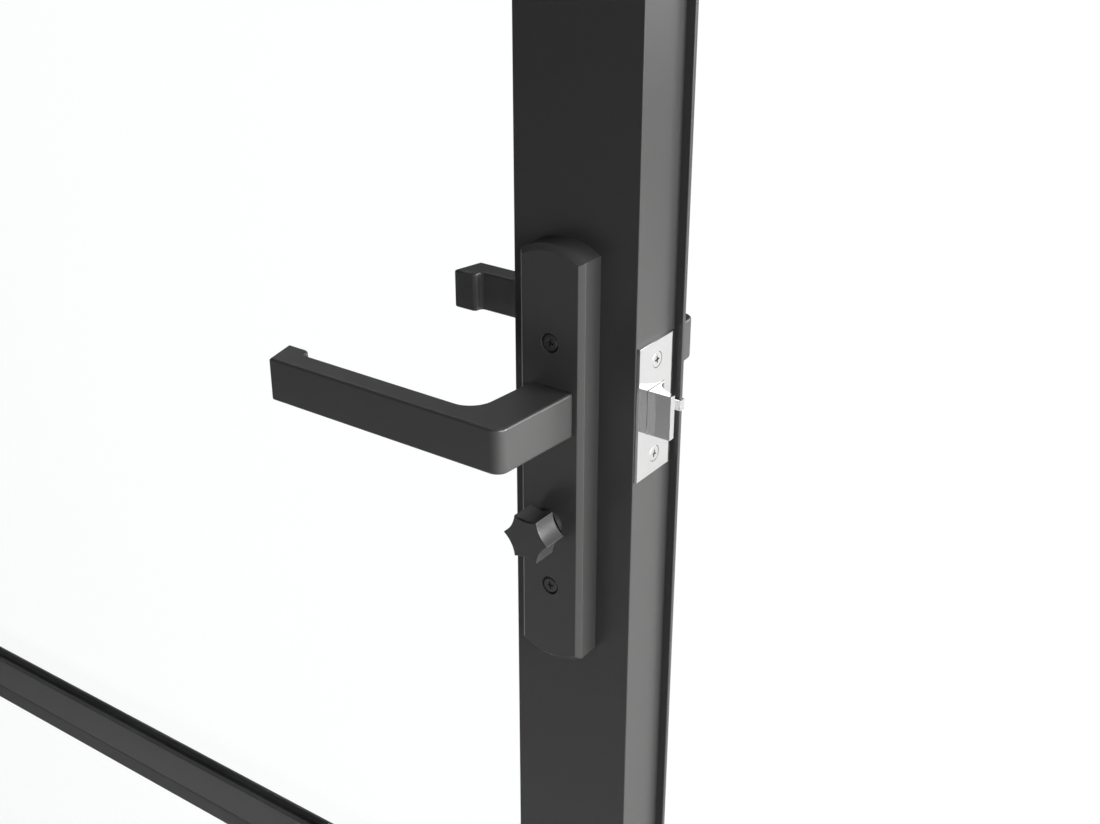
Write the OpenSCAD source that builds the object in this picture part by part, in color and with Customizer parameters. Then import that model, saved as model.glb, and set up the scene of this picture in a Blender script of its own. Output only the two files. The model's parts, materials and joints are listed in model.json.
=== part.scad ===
// Glazed aluminium door with its outer frame: a hinged leaf with two panes and one
// glazing bar, lever furniture on both faces, a spring latch and a star-shaped turn.
// X runs along the wall, -Y is the side the leaf opens towards, +Z is up.
// The origin is the middle of the threshold's underside, in the plane of the closed leaf's front.

/* [Leaf] */
// Width of the leaf over its stiles
leaf_w = 850; // [700:1:1000]
// Height of the leaf over its rails
leaf_h = 2050; // [1700:1:2500]
// Depth of a stile or rail without its rear fin
stile_d = 27.8; // [27:0.1:34]
// Thickness of the rear wall that carries the fin
fin_t = 2.2; // [1.6:0.1:4]
// How far the rear fin stands out past the edge of the leaf
fin_out = 3.8; // [1:0.1:4.5]
// Face width of the stiles and rails
stile_w = 57; // [52:1:80]
// Wall thickness of the leaf profiles
leaf_wall = 2; // [1.5:0.1:2.5]
// Angle at which the leaf stands open
open_angle = 150; // [0:1:165]

/* [Glazing] */
// Thickness of the glass
glass_t = 4; // [3:0.5:4]
// Front face of the leaf to the glazing groove
groove_y = 17.3; // [16:0.1:18]
// Width of the glazing groove
groove_w = 8.5; // [8:0.1:9]
// Depth of the glazing groove
groove_depth = 11; // [9:0.5:12]
// Thickness of the gasket in front of the glass
gasket_front = 2.5; // [2:0.1:3]
// Thickness of the gasket under the edge of the glass
gasket_base = 2; // [1:0.5:3]
// Height of the front bar of the glazing bar
bar_h = 10.3; // [9:0.1:20]
// Height of the rear flange of the glazing bar
flange_h = 18.3; // [14:0.1:30]
// Distance of the glazing bar below the lever axis
bar_drop = 329.3; // [250:0.1:500]

/* [Frame] */
// Face width of the jambs and head
jamb_w = 40; // [30:1:60]
// Depth of the jambs and head through the wall
jamb_d = 55; // [50:1:90]
// Wall thickness of the frame profiles
jamb_wall = 1.8; // [1.4:0.1:2.5]
// Gap between the leaf's edge and the frame
edge_gap = 5.5; // [5.5:0.1:8]
// How far the stop stands in behind the leaf
stop_w = 14; // [12:1:20]
// Gap that the bulb seal fills between leaf and stop
seal_gap = 6; // [5:0.1:8]
// Height of the threshold
sill_h = 12; // [10:1:20]
// Gap between the threshold and the leaf
sill_gap = 8; // [7:0.5:12]
// Radius of the anchor holes through the jambs
anchor_r = 4; // [3:0.5:5]

/* [Hinges] */
// Height of one hinge
hinge_h = 100; // [80:5:140]
// Radius of the hinge barrel
barrel_r = 6.5; // [5.5:0.1:7]
// Radius of the hinge pin
pin_r = 3; // [2:0.1:4]
// Thickness of a hinge plate
hinge_t = 2.5; // [2:0.1:2.6]
// Distance of the pin in front of the leaf's front face
pin_front = 8; // [7.8:0.1:12]

/* [Handle set] */
// Height of the lever axis above the underside of the threshold
lever_z = 1000; // [850:1:1150]
// Distance of the lever axis from the lock edge
backset = 31.5; // [28:0.5:34]
// Width of the handle plates
plate_w = 30; // [28:0.5:36]
// Depth of the handle plates
plate_d = 12; // [10:0.5:16]
// Top of the handle plate above the lever axis
plate_up = 67; // [40:1:90]
// Bottom of the handle plate below the lever axis
plate_down = 116.9; // [100:1:150]
// Rise of the arched plate ends
plate_arch = 4.5; // [2:0.5:8]
// Reach of the lever from its axis to its tip
lever_reach = 112; // [90:0.5:140]
// Height of the lever blade
lever_h = 18.9; // [14:0.1:22]
// Outer face of the lever from the leaf
lever_out = 55; // [48:0.5:70]
// Thickness of the lever's grip
grip_t = 10.6; // [9:0.1:16]
// Half width of the lever's neck on the side of the grip
neck_left = 9; // [8.5:0.1:10]
// Half width of the lever's neck on the other side
neck_right = 10.8; // [9:0.1:12]
// How far the neck leans towards the grip
neck_lean = 2.7; // [0:0.1:4]
// Radius of the lever's outer corner
corner_r = 5; // [1:0.5:8]
// Radius of the lever's inner corner
fillet_r = 9; // [4:0.5:14]
// Length of the hook at the lever's tip
hook_long = 12; // [6:0.5:16]
// How far the hook stands in behind the grip
hook_rise = 4.4; // [3:0.1:8]
// Distance of the turn's axis below the lever axis
turn_drop = 51; // [45:0.5:60]
// Radius over the points of the star-shaped turn
star_r = 10.85; // [9:0.05:13]
// Radius at the hollows of the star-shaped turn
star_in = 8.2; // [7:0.1:9]
// Upper plate screw above the lever axis
screw_up = 27.8; // [24:0.1:50]
// Lower plate screw below the lever axis
screw_down = 80.9; // [72:0.1:100]

/* [Latch] */
// Height of the latch faceplate
face_h = 57.15; // [52:0.05:70]
// Width of the latch faceplate
face_w = 25; // [23:0.1:26]
// How far the faceplate stands proud of the edge
face_t = 1.4; // [1:0.1:2]
// Height of the latch bolt
bolt_h = 18.6; // [14:0.1:20]
// Width of the latch bolt
bolt_w = 12; // [10:0.1:12]
// How far the latch bolt stands out of the leaf's edge
bolt_out = 11.9; // [10:0.1:14]
// Length the latch bolt draws back
bolt_travel = 10.2; // [8:0.1:12]
// Distance of each faceplate screw from the lever axis
face_screw = 20.3; // [19.9:0.1:24]

/* [Hidden] */
$fn = 64;

fit = 0.05;               // radial clearance of a turning fit
gap = 0.3;                // clearance between faces that pass each other
over = 1;                 // overshoot of a cutting body
leaf_t = stile_d + fin_t;
leaf_x = leaf_w / 2;      // lock edge of the closed leaf; the hinge edge is at -leaf_x
leaf_z0 = sill_h + sill_gap;
leaf_z1 = leaf_z0 + leaf_h;
jamb_x = leaf_x + edge_gap;
head_z = leaf_z1 + edge_gap;
stop_y = leaf_t + seal_gap;
frame_h = head_z + jamb_w;
pin_x = -leaf_x - edge_gap / 2;
pin_y = -pin_front;
hinge_zs = [leaf_z0 + 240, (leaf_z0 + leaf_z1) / 2, leaf_z1 - 240];
anchor_zs = [leaf_z0 + 130, leaf_z0 + 630, leaf_z1 - 620, leaf_z1 - 120];
anchor_y = 18;
axis_x = leaf_x - backset;
turn_z = lever_z - turn_drop;
bar_z = lever_z - bar_drop;
bar_web = 2;
glass_y = groove_y + gasket_front;
pane_x = leaf_x - stile_w;                            // edge of the clear glass
groove_x = pane_x + groove_depth;                     // bottom of the groove in a stile
light_z0 = leaf_z0 + stile_w;
light_z1 = leaf_z1 - stile_w;
turn_r = 6;                                           // stem of the turn
bar_hole_r = 7;
spindle_w = 8;
journal_r = 8;                                        // round neck of a lever in its bush
bush_r = 9.9;
case_y0 = 4.2;
case_y1 = 24.2;
case_wall = 1.2;
hub_r = 7;                                            // barrel of the latch hub
hub_wire = 0.8;
case_up = face_screw - 2.1;
case_depth = stile_w - groove_depth - leaf_wall - 0.1;
bolt_y0 = 7;
bolt_y1 = bolt_y0 + bolt_w;
plunger_y0 = bolt_y1 + 0.5;
plunger_w = 3;
plunger_h = 4.6;
plunger_out = 8.8;
arm_half = 22.5;                                      // lean of the hub's arm, half the lever's turn
arm_r = bolt_travel / (2 * sin(arm_half));            // its reach, so that it draws the bolt fully
tail_z = arm_r + 0.8;                                 // underside of the bolt's tail
tail_t = 2.4;
strike_t = 1.5;
screw_r = 2;
face_screw_size = [3.4, 1.75, 11];                    // head radius, shank radius and length
strike_screw_size = [3.4, 1.8, 12];
hinge_screw_size = [3.6, 2, 14];
plate_head_r = 4;
sill_ys = [14, 42];                                   // where the threshold's screws go

// ---- helpers ------------------------------------------------------------------------------

// box between two corners
module block(lo, hi) {
    translate(lo) cube(hi - lo);
}

// outline drawn in X and Z, extruded from y0 to y1
module along_y(y0, y1) {
    translate([0, y1, 0]) rotate([90, 0, 0]) linear_extrude(y1 - y0) children();
}

// outline drawn in Y and Z, extruded from x0 to x1
module along_x(x0, x1) {
    translate([x0, 0, 0]) rotate([90, 0, 90]) linear_extrude(x1 - x0) children();
}

// round bar along Y
module rod_y(x, z, r, y0, y1) {
    translate([x, y1, z]) rotate([90, 0, 0]) cylinder(r = r, h = y1 - y0);
}

// round bar along X
module rod_x(y, z, r, x0, x1) {
    translate([x0, y, z]) rotate([0, 90, 0]) cylinder(r = r, h = x1 - x0);
}

// pieces of the leaf are drawn closed and stand open here
module hung() {
    translate([pin_x, pin_y, 0]) rotate([0, 0, -open_angle]) translate([-pin_x, -pin_y, 0])
        children();
}

// the same thing on the other face of the leaf
module other_face() {
    translate([0, leaf_t, 0]) mirror([0, 1, 0]) children();
}

// countersunk screw along +Z with its head's face at z = 0 and a cross recess
module screw(size) {
    head_r = size[0];
    shank_r = size[1];
    length = size[2];
    difference() {
        union() {
            cylinder(r1 = head_r, r2 = shank_r, h = head_r - shank_r);
            cylinder(r = shank_r, h = length);
        }
        for (turn = [0, 90]) rotate(turn)
            block([-head_r * 0.58, -0.45, -over], [head_r * 0.58, 0.45, 0.9]);
    }
}

// hole that takes the same screw
module screw_hole(size) {
    head_r = size[0];
    shank_r = size[1];
    length = size[2];
    cylinder(r1 = head_r + fit, r2 = shank_r + fit, h = head_r - shank_r);
    cylinder(r = shank_r + fit, h = length);
    translate([0, 0, -over]) cylinder(r = head_r + fit, h = over + 0.001);
}

// torsion spring along Z: wire w wound at radius r over a number of turns
module coil(r, w, pitch, turns) {
    sides = 6;
    per_turn = 20;
    rings = round(turns * per_turn);
    points = [for (i = [0:rings], k = [0:sides - 1])
        let (a = 360 * i / per_turn, b = 360 * k / sides, q = r + w / 2 * cos(b))
        [q * cos(a), q * sin(a), pitch * i / per_turn + w / 2 * sin(b)]];
    walls = [for (i = [0:rings - 1], k = [0:sides - 1]) let (n = (k + 1) % sides)
        [i * sides + k, (i + 1) * sides + k, (i + 1) * sides + n, i * sides + n]];
    ends = [[for (k = [0:sides - 1]) k], [for (k = [sides - 1:-1:0]) rings * sides + k]];
    polyhedron(points, concat(walls, ends), convexity = 6);
}

// ---- outer frame --------------------------------------------------------------------------

// section of a jamb: u runs from the opening into the wall, with the stop at negative u
module jamb_section(s) {
    w = jamb_wall;
    difference() {
        polygon([[0, 0], [s * jamb_w, 0], [s * jamb_w, jamb_d], [-s * stop_w, jamb_d],
                 [-s * stop_w, stop_y], [0, stop_y]]);
        polygon([[s * w, w], [s * (jamb_w - w), w], [s * (jamb_w - w), jamb_d - w],
                 [-s * (stop_w - w), jamb_d - w], [-s * (stop_w - w), stop_y + w],
                 [s * w, stop_y + w]]);
    }
}

// wedge that mitres the upper end of a jamb or the ends of the head
module frame_mitre() {
    reach = stop_w + over;
    along_y(-over, jamb_d + over)
        polygon([[-jamb_x - jamb_w, frame_h], [jamb_x + jamb_w, frame_h],
                 [jamb_x - reach, head_z - reach], [-jamb_x + reach, head_z - reach]]);
}

module anchor_holes(x0, x1) {
    for (z = anchor_zs) rod_x(anchor_y, z, anchor_r, x0, x1);
}

// one jamb: s = 1 on the lock side, -1 on the hinge side
module jamb(s) {
    difference() {
        translate([s * jamb_x, 0, 0]) linear_extrude(frame_h) jamb_section(s);
        frame_mitre();
        anchor_holes(min(s * jamb_x, s * (jamb_x + jamb_w)) - over,
                     max(s * jamb_x, s * (jamb_x + jamb_w)) + over);
        for (y = sill_ys) rod_x(y, sill_h / 2, screw_r + fit,
            min(s * (jamb_x - over), s * (jamb_x + jamb_wall + over)),
            max(s * (jamb_x - over), s * (jamb_x + jamb_wall + over)));
        // the stop is cut away over the threshold
        block([min(s * (jamb_x - stop_w - over), s * jamb_x), -over, -over],
              [max(s * (jamb_x - stop_w - over), s * jamb_x), jamb_d + over, sill_h]);
        children();
    }
}

module hinge_jamb() {
    color("#2c2d2f") jamb(-1) at_hinges() hinge_screw_holes(-1);
}

module lock_jamb() {
    color("#2c2d2f") jamb(1) {
        block([jamb_x - over, bolt_y0 - 0.8, lever_z - bolt_h / 2 - 1],
              [jamb_x + jamb_wall + over, plunger_y0 + plunger_w + 0.7, lever_z + bolt_h / 2 + 1]);
        strike_screw_places() screw_hole(strike_screw_size);
    }
}

module head() {
    color("#2c2d2f") intersection() {
        along_x(-jamb_x - jamb_w, jamb_x + jamb_w)
            translate([0, head_z]) rotate(90) mirror([0, 1]) jamb_section(1);
        frame_mitre();
    }
}

module threshold() {
    w = jamb_wall;
    web = jamb_d / 2;
    color("#3a3b3d") difference() {
        along_x(-jamb_x, jamb_x) difference() {
            polygon([[-6, 0], [jamb_d, 0], [jamb_d, sill_h], [0, sill_h], [-6, 4]]);
            translate([0, w]) square([web - w, sill_h - 2 * w]);
            translate([web, w]) square([jamb_d - w - web, sill_h - 2 * w]);
        }
        for (s = [-1, 1], y = sill_ys)
            rod_x(y, sill_h / 2, screw_r + fit, s * jamb_x - 26, s * jamb_x + 26);
    }
}

// L-shaped cleats inside the mitred corners of the frame
module frame_corner_keys() {
    leg = 90;
    wide = 26;
    edge = jamb_wall + gap;
    color("#b4b6b8") for (s = [0, 1]) mirror([s, 0, 0])
        translate([jamb_x + jamb_w - edge, 0, frame_h - edge])
            along_y(jamb_wall + gap, stop_y - 2)
                polygon([[0, 0], [-leg, 0], [-leg, -wide], [-wide, -wide], [-wide, -leg], [0, -leg]]);
}

module threshold_screws() {
    color("#9a9c9e") for (s = [0, 1], y = sill_ys) mirror([s, 0, 0])
        translate([jamb_x + jamb_wall + 1.2, y, sill_h / 2]) rotate([0, -90, 0]) union() {
            cylinder(r = 3.4, h = 1.2);
            cylinder(r = screw_r, h = 26);
        }
}

// bulb seal on the front of the stop, u and y as in jamb_section
module seal_section() {
    bulb_r = seal_gap / 2 - gap / 2 + 0.05;
    bulb_y = leaf_t + gap + bulb_r;
    difference() {
        intersection() {
            union() {
                translate([-11, stop_y - 1.6]) square([8, 1.6]);
                translate([-7, bulb_y]) circle(r = bulb_r);
            }
            translate([-12, leaf_t]) square([10, seal_gap]);
        }
        translate([-7, bulb_y]) circle(r = bulb_r - 1.1);
    }
}

module side_seal(s) {
    color("#1a1a1b") translate([s * jamb_x, 0, sill_h + gap])
        linear_extrude(head_z - 11 - gap - sill_h - gap)
            mirror([s < 0 ? 1 : 0, 0]) seal_section();
}

module head_seal() {
    color("#1a1a1b") along_x(-jamb_x + 3, jamb_x - 3)
        translate([0, head_z]) rotate(90) mirror([0, 1]) seal_section();
}

// strike plate, turned round the front corner of the lock jamb as a lip
module strike_plate() {
    color("#d9dadb") difference() {
        union() {
            block([jamb_x - strike_t, -strike_t, lever_z - 35], [jamb_x, stile_d - 1.3, lever_z + 35]);
            block([jamb_x - strike_t, -strike_t, lever_z - 20], [jamb_x + 12, 0, lever_z + 20]);
        }
        block([jamb_x - strike_t - over, bolt_y0 - 0.8, lever_z - bolt_h / 2 - 1],
              [jamb_x + over, plunger_y0 + plunger_w + 0.7, lever_z + bolt_h / 2 + 1]);
        strike_screw_places() screw_hole(strike_screw_size);
    }
}

module strike_screw_places() {
    for (s = [-1, 1]) translate([jamb_x - strike_t + 0.1, 14, lever_z + s * 24])
        rotate([0, 90, 0]) children();
}

module strike_screws() {
    color("#c9cacb") strike_screw_places() screw(strike_screw_size);
}

// ---- hinges -------------------------------------------------------------------------------

// the pin's axis is the local Z axis; the leaf side is +X and the wall side is -X
module at_hinge(k) {
    translate([pin_x, pin_y, hinge_zs[k] - hinge_h / 2]) children();
}

module at_hinges() {
    for (k = [0:2]) at_hinge(k) children();
}

// one half of a hinge: s = 1 is the door's half, -1 the frame's
module hinge_leaf(s) {
    parts = 5;
    step = hinge_h / parts;
    x0 = edge_gap / 2 - hinge_t;
    wing = 24 + pin_front;
    difference() {
        union() {
            block([min(s * x0, s * (x0 + hinge_t)), barrel_r + 0.8, 0.2],
                  [max(s * x0, s * (x0 + hinge_t)), wing, hinge_h - 0.2]);
            for (i = [0:parts - 1]) if ((i % 2 == 1) == (s == 1)) {
                block([min(s * x0, s * (x0 + hinge_t)), 0, i * step + 0.2],
                      [max(s * x0, s * (x0 + hinge_t)), barrel_r + 1.8, (i + 1) * step - 0.2]);
                translate([0, 0, i * step + 0.2]) cylinder(r = barrel_r, h = step - 0.4);
            }
        }
        translate([0, 0, -over]) cylinder(r = pin_r + fit, h = hinge_h + 2 * over);
        hinge_screw_holes(s);
    }
}

module hinge_screw_places(s) {
    x0 = edge_gap / 2 - hinge_t;
    for (i = [0:3]) translate([s * (x0 + 0.1), 21 + (i % 2) * 4, hinge_h * (0.125 + 0.25 * i)])
        rotate([0, s * 90, 0]) children();
}

module hinge_screw_holes(s) {
    hinge_screw_places(s) screw_hole(hinge_screw_size);
}

module hinge_screws(s) {
    hinge_screw_places(s) screw(hinge_screw_size);
}

module hinge_frame_leaf(k) {
    color("#2a2b2d") at_hinge(k) hinge_leaf(-1);
}

module hinge_door_leaf(k) {
    color("#2a2b2d") hung() at_hinge(k) hinge_leaf(1);
}

module hinge_pin(k) {
    color("#8d8f92") at_hinge(k) {
        cylinder(r = pin_r, h = hinge_h);
        translate([0, 0, hinge_h]) cylinder(r = barrel_r - 1, h = 2.5);
        translate([0, 0, -2.5]) cylinder(r = barrel_r - 1, h = 2.5);
    }
}

module hinge_frame_screws() {
    color("#8d8f92") at_hinges() hinge_screws(-1);
}

module hinge_door_screws() {
    color("#8d8f92") hung() at_hinges() hinge_screws(1);
}

// ---- leaf profiles ------------------------------------------------------------------------

// section of a stile or rail: s runs from the outer edge in to the glass, then Y
module leaf_section() {
    w = leaf_wall;
    g1 = groove_y + groove_w;
    bed = stile_w - groove_depth;
    difference() {
        polygon([[0, 0], [stile_w, 0], [stile_w, groove_y], [bed, groove_y], [bed, g1],
                 [stile_w, g1], [stile_w, leaf_t], [-fin_out, leaf_t], [-fin_out, stile_d],
                 [0, stile_d]]);
        polygon([[w, w], [stile_w - w, w], [stile_w - w, groove_y - w], [bed - w, groove_y - w],
                 [bed - w, stile_d], [w, stile_d]]);
    }
}

// trapezium that mitres a member at both ends, reaching out past the fin
module mitre(across, far) {
    e = 2 * fin_out;
    along_y(-over, leaf_t + over)
        polygon(across
            ? [[-leaf_x - e, far + e], [leaf_x + e, far + e],
               [leaf_x - stile_w, far - stile_w], [-leaf_x + stile_w, far - stile_w]]
            : [[far + e, leaf_z1 + e], [far + e, leaf_z0 - e],
               [far - stile_w, leaf_z0 + stile_w], [far - stile_w, leaf_z1 - stile_w]]);
}

// upright at the lock edge, closed position
module stile_bar() {
    e = 2 * fin_out;
    intersection() {
        translate([leaf_x, 0, leaf_z0 - e]) linear_extrude(leaf_h + 2 * e)
            mirror([1, 0]) leaf_section();
        mitre(false, leaf_x);
    }
}

// rail at the top edge, closed position
module rail_bar() {
    e = 2 * fin_out;
    intersection() {
        along_x(-leaf_x - e, leaf_x + e)
            translate([0, leaf_z1]) rotate(-90) leaf_section();
        mitre(true, leaf_z1);
    }
}

module lock_stile() {
    color("#3c3d3f") hung() difference() {
        stile_bar();
        // way in for the latch case, and the faceplate's screws
        block([leaf_x - leaf_wall - over, case_y0 - fit, lever_z - case_up - fit],
              [leaf_x + over, case_y1 + fit, lever_z + case_up + fit]);
        faceplate_screw_places() screw_hole(face_screw_size);
        glazing_bar_screw_hole();
        // ways through for the spindle, the turn's bar and the plate screws
        rod_y(axis_x, lever_z, 10, -over, leaf_t + over);
        rod_y(axis_x, turn_z, bar_hole_r, -over, leaf_t + over);
        plate_screw_places() rod_y(0, 0, screw_r + 0.3, -over, leaf_t + over);
    }
}

module hinge_stile() {
    color("#3c3d3f") hung() difference() {
        mirror([1, 0, 0]) stile_bar();
        mirror([1, 0, 0]) glazing_bar_screw_hole();
        at_hinges() hinge_screw_holes(1);
    }
}

module top_rail() {
    color("#3c3d3f") hung() rail_bar();
}

module bottom_rail() {
    color("#3c3d3f") hung()
        translate([0, 0, leaf_z0 + leaf_z1]) mirror([0, 0, 1]) rail_bar();
}

// H-shaped bar between the two panes
module glazing_bar() {
    w = 1.4;
    lip_y = glass_y + glass_t + 0.2;
    color("#3c3d3f") hung() along_x(-pane_x, pane_x) translate([0, bar_z]) difference() {
        union() {
            translate([0, -bar_h / 2]) square([groove_y, bar_h]);
            translate([groove_y - 0.01, -bar_web / 2]) square([lip_y - groove_y + 0.02, bar_web]);
            translate([lip_y, -flange_h / 2]) square([1.7, flange_h]);
        }
        translate([w, w - bar_h / 2]) square([groove_y - 2 * w, bar_h - 2 * w]);
    }
}

// cleats inside the four mitred corners
module leaf_corner_keys() {
    leg = 95;
    edge = 5;
    wide = 34;
    color("#b4b6b8") hung() for (s = [0, 1], t = [0, 1])
        mirror([s, 0, 0]) translate([0, 0, t * (leaf_z0 + leaf_z1)]) mirror([0, 0, t])
            translate([leaf_x - edge, 0, leaf_z0 + edge])
                along_y(leaf_wall + 0.2, groove_y - leaf_wall - 0.2)
                    polygon([[0, 0], [-leg, 0], [-leg, wide], [-wide, wide], [-wide, leg], [0, leg]]);
}

module glazing_bar_screw_hole() {
    rod_x(groove_y / 2, bar_z, screw_r + fit, pane_x - over, pane_x + leaf_wall + over);
}

// a screw at each end of the glazing bar, with its head inside the stile
module glazing_bar_screws() {
    y = groove_y / 2;
    color("#9a9c9e") hung() for (s = [0, 1]) mirror([s, 0, 0])
        translate([pane_x + leaf_wall + 1.5, y, bar_z]) rotate([0, -90, 0]) union() {
            cylinder(r = 3.6, h = 1.5);
            cylinder(r = screw_r, h = 24);
        }
}

// ---- glazing ------------------------------------------------------------------------------

// lowest and highest edge of each pane, and the gasket's bed beyond it
upper_z0 = bar_z + bar_web / 2;
upper_z1 = leaf_z1 - stile_w + groove_depth;
lower_z0 = leaf_z0 + stile_w - groove_depth;
lower_z1 = bar_z - bar_web / 2;
bar_bed = 1.2;

module pane(z0, z1) {
    block([-groove_x + gasket_base, glass_y, z0], [groove_x - gasket_base, glass_y + glass_t, z1]);
}

module upper_glass() {
    color("#e6eeec", 0.25) hung() pane(upper_z0 + bar_bed, upper_z1 - gasket_base);
}

module lower_glass() {
    color("#e6eeec", 0.25) hung() pane(lower_z0 + gasket_base, lower_z1 - bar_bed);
}

// wrap-round gasket: a channel round the edge of the glass, flush with the profiles
module gasket(z0, z1, clear0, clear1) {
    lip_y = glass_y + glass_t + 0.1;
    difference() {
        block([-groove_x, groove_y, z0], [groove_x, groove_y + groove_w, z1]);
        children();
        block([-pane_x, groove_y - over, clear0], [pane_x, groove_y + groove_w + over, clear1]);
        block([-pane_x, lip_y, bar_z - flange_h / 2 - 0.1],
              [pane_x, groove_y + groove_w + over, bar_z + flange_h / 2 + 0.1]);
    }
}

module upper_gasket() {
    color("#161617") hung()
        gasket(upper_z0, upper_z1, bar_z + bar_h / 2, light_z1)
            pane(upper_z0 + bar_bed, upper_z1 - gasket_base);
}

module lower_gasket() {
    color("#161617") hung()
        gasket(lower_z0, lower_z1, light_z0, bar_z - bar_h / 2)
            pane(lower_z0 + gasket_base, lower_z1 - bar_bed);
}

module bottom_sweep() {
    color("#1a1a1b") hung() along_x(-leaf_x + 6, leaf_x - 6) union() {
        translate([5, leaf_z0 - 3]) square([18, 3]);
        translate([11, sill_h + 0.6]) square([6, sill_gap - 3]);
    }
}

// ---- handle set ---------------------------------------------------------------------------

// outline of a handle plate in X and Z, drawn in by an inset: two sides and an arc at each end
module plate_face(inset) {
    half = plate_w / 2 - inset;
    r = (pow(plate_w / 2, 2) + pow(plate_arch, 2)) / (2 * plate_arch);
    top = lever_z + plate_up;
    low = lever_z - plate_down;
    lean = asin(half / (r - inset));
    steps = 12;
    polygon(concat(
        [for (i = [0:steps]) let (a = lean - 2 * lean * i / steps)
            [axis_x + (r - inset) * sin(a), top - r + (r - inset) * cos(a)]],
        [for (i = [0:steps]) let (a = -lean + 2 * lean * i / steps)
            [axis_x + (r - inset) * sin(a), low + r - (r - inset) * cos(a)]]));
}

module plate_screw_places() {
    for (z = [lever_z + screw_up, lever_z - screw_down]) translate([axis_x, 0, z]) children();
}

// handle plate on the front face: a shell with a chamfered edge and bosses
module handle_plate() {
    chamfer = 2;
    skin = 2.2;
    difference() {
        union() {
            difference() {
                hull() {
                    along_y(-plate_d + chamfer, 0) plate_face(0);
                    along_y(-plate_d, 0) plate_face(chamfer + 0.4);
                }
                along_y(-plate_d + skin, over) plate_face(skin);
            }
            plate_screw_places() rod_y(0, 0, 4.2, -plate_d + 1, 0);
            rod_y(axis_x, turn_z, turn_r + 3, -plate_d + 1, -1);
        }
        rod_y(axis_x, lever_z, bush_r, -plate_d - over, over);
        rod_y(axis_x, turn_z, turn_r + fit, -plate_d - over, over);
    }
}

module inside_plate() {
    color("#343537") hung() difference() {
        handle_plate();
        plate_screw_places() translate([0, -plate_d - 0.3, 0]) rotate([-90, 0, 0])
            screw_hole([plate_head_r, screw_r, plate_d + over]);
    }
}

module outside_plate() {
    color("#343537") hung() other_face() difference() {
        handle_plate();
        plate_screw_places() rod_y(0, 0, screw_r + fit, -plate_d + 3, over);
        rod_y(axis_x, turn_z, 8.5 + fit, -plate_d - over, over);
    }
}

module plate_screws() {
    color("#303133") hung() plate_screw_places() translate([0, -plate_d - 0.3, 0])
        rotate([-90, 0, 0]) screw([plate_head_r, screw_r, 2 * plate_d + leaf_t - 6]);
}

// a thing that each of the two handle plates has
module both_faces() {
    children();
    other_face() children();
}

module lever_bushes() {
    color("#d8d4c8") hung() both_faces() difference() {
        union() {
            rod_y(axis_x, lever_z, bush_r - fit, -plate_d, -2);
            rod_y(axis_x, lever_z, bush_r, -3, -2);
        }
        rod_y(axis_x, lever_z, journal_r + fit, -plate_d - over, over);
    }
}

module lever_springs() {
    color("#a9abad") hung() both_faces()
        translate([axis_x, -3, lever_z]) rotate([90, 0, 0]) coil(11.5, 1.2, 1.5, 2.5);
}

// quarter of a circle in steps, its centre given and its first and last angle
function arc(centre, r, start, end) = [for (i = [0:8]) let (a = start + (end - start) * i / 8)
    centre + r * [cos(a), sin(a)]];

// lever seen from above: leaning neck, outer corner, grip, hooked tip and inner fillet
module lever_plan() {
    root = -plate_d - gap;
    front = -lever_out;
    back = front + grip_t;
    tip = -lever_reach;
    tip_lean = 3.6;
    nose_r = 0.6 * hook_rise;
    heel_r = hook_rise - nose_r;
    left = -neck_left - neck_lean;
    right = neck_right - neck_lean;
    polygon(concat(
        [[-neck_left, root], [neck_right, root]],
        arc([right - corner_r, front + corner_r], corner_r, 0, -90),
        [[tip + tip_lean, front], [tip, back + hook_rise]],
        arc([tip + hook_long - nose_r, back + hook_rise - nose_r], nose_r, 90, 0),
        arc([tip + hook_long + heel_r, back + heel_r], heel_r, 180, 270),
        arc([left - fillet_r, back + fillet_r], fillet_r, 270, 360)));
}

// a lever for the front face, with its journal, socket and grub screw hole
module lever() {
    difference() {
        union() {
            translate([axis_x, 0, lever_z - lever_h / 2]) linear_extrude(lever_h) lever_plan();
            rod_y(axis_x, lever_z, journal_r, -plate_d - gap - 0.01, -1);
        }
        block([axis_x - spindle_w / 2 - fit, -36, lever_z - spindle_w / 2 - fit],
              [axis_x + spindle_w / 2 + fit, 0, lever_z + spindle_w / 2 + fit]);
        translate([axis_x, -24, lever_z - lever_h]) cylinder(r = 2.5 + fit, h = lever_h);
    }
}

module inside_lever() {
    color("#393a3c") hung() lever();
}

module outside_lever() {
    color("#393a3c") hung() other_face() lever();
}

module spindle() {
    color("#9a9c9e") hung()
        block([axis_x - spindle_w / 2, -35, lever_z - spindle_w / 2],
              [axis_x + spindle_w / 2, leaf_t + 35, lever_z + spindle_w / 2]);
}

module lever_grub_screws() {
    length = lever_h / 2 - spindle_w / 2 - 0.6;
    color("#303133") hung() both_faces()
        translate([axis_x, -24, lever_z - spindle_w / 2 - length]) difference() {
            cylinder(r = 2.5, h = length);
            translate([0, 0, -over]) cylinder(r = 1.2, h = over + 2, $fn = 6);
        }
}

// ---- turn and key cylinder ----------------------------------------------------------------

// six-pointed star with hollow sides
module star(r_out, r_in) {
    mid = r_out * cos(30);
    rise = mid - r_in;
    bow = (pow(r_out / 2, 2) + rise * rise) / (2 * rise);
    difference() {
        circle(r = r_out, $fn = 6);
        for (i = [0:5]) rotate(30 + 60 * i) translate([r_in + bow, 0]) circle(r = bow);
    }
}

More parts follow.
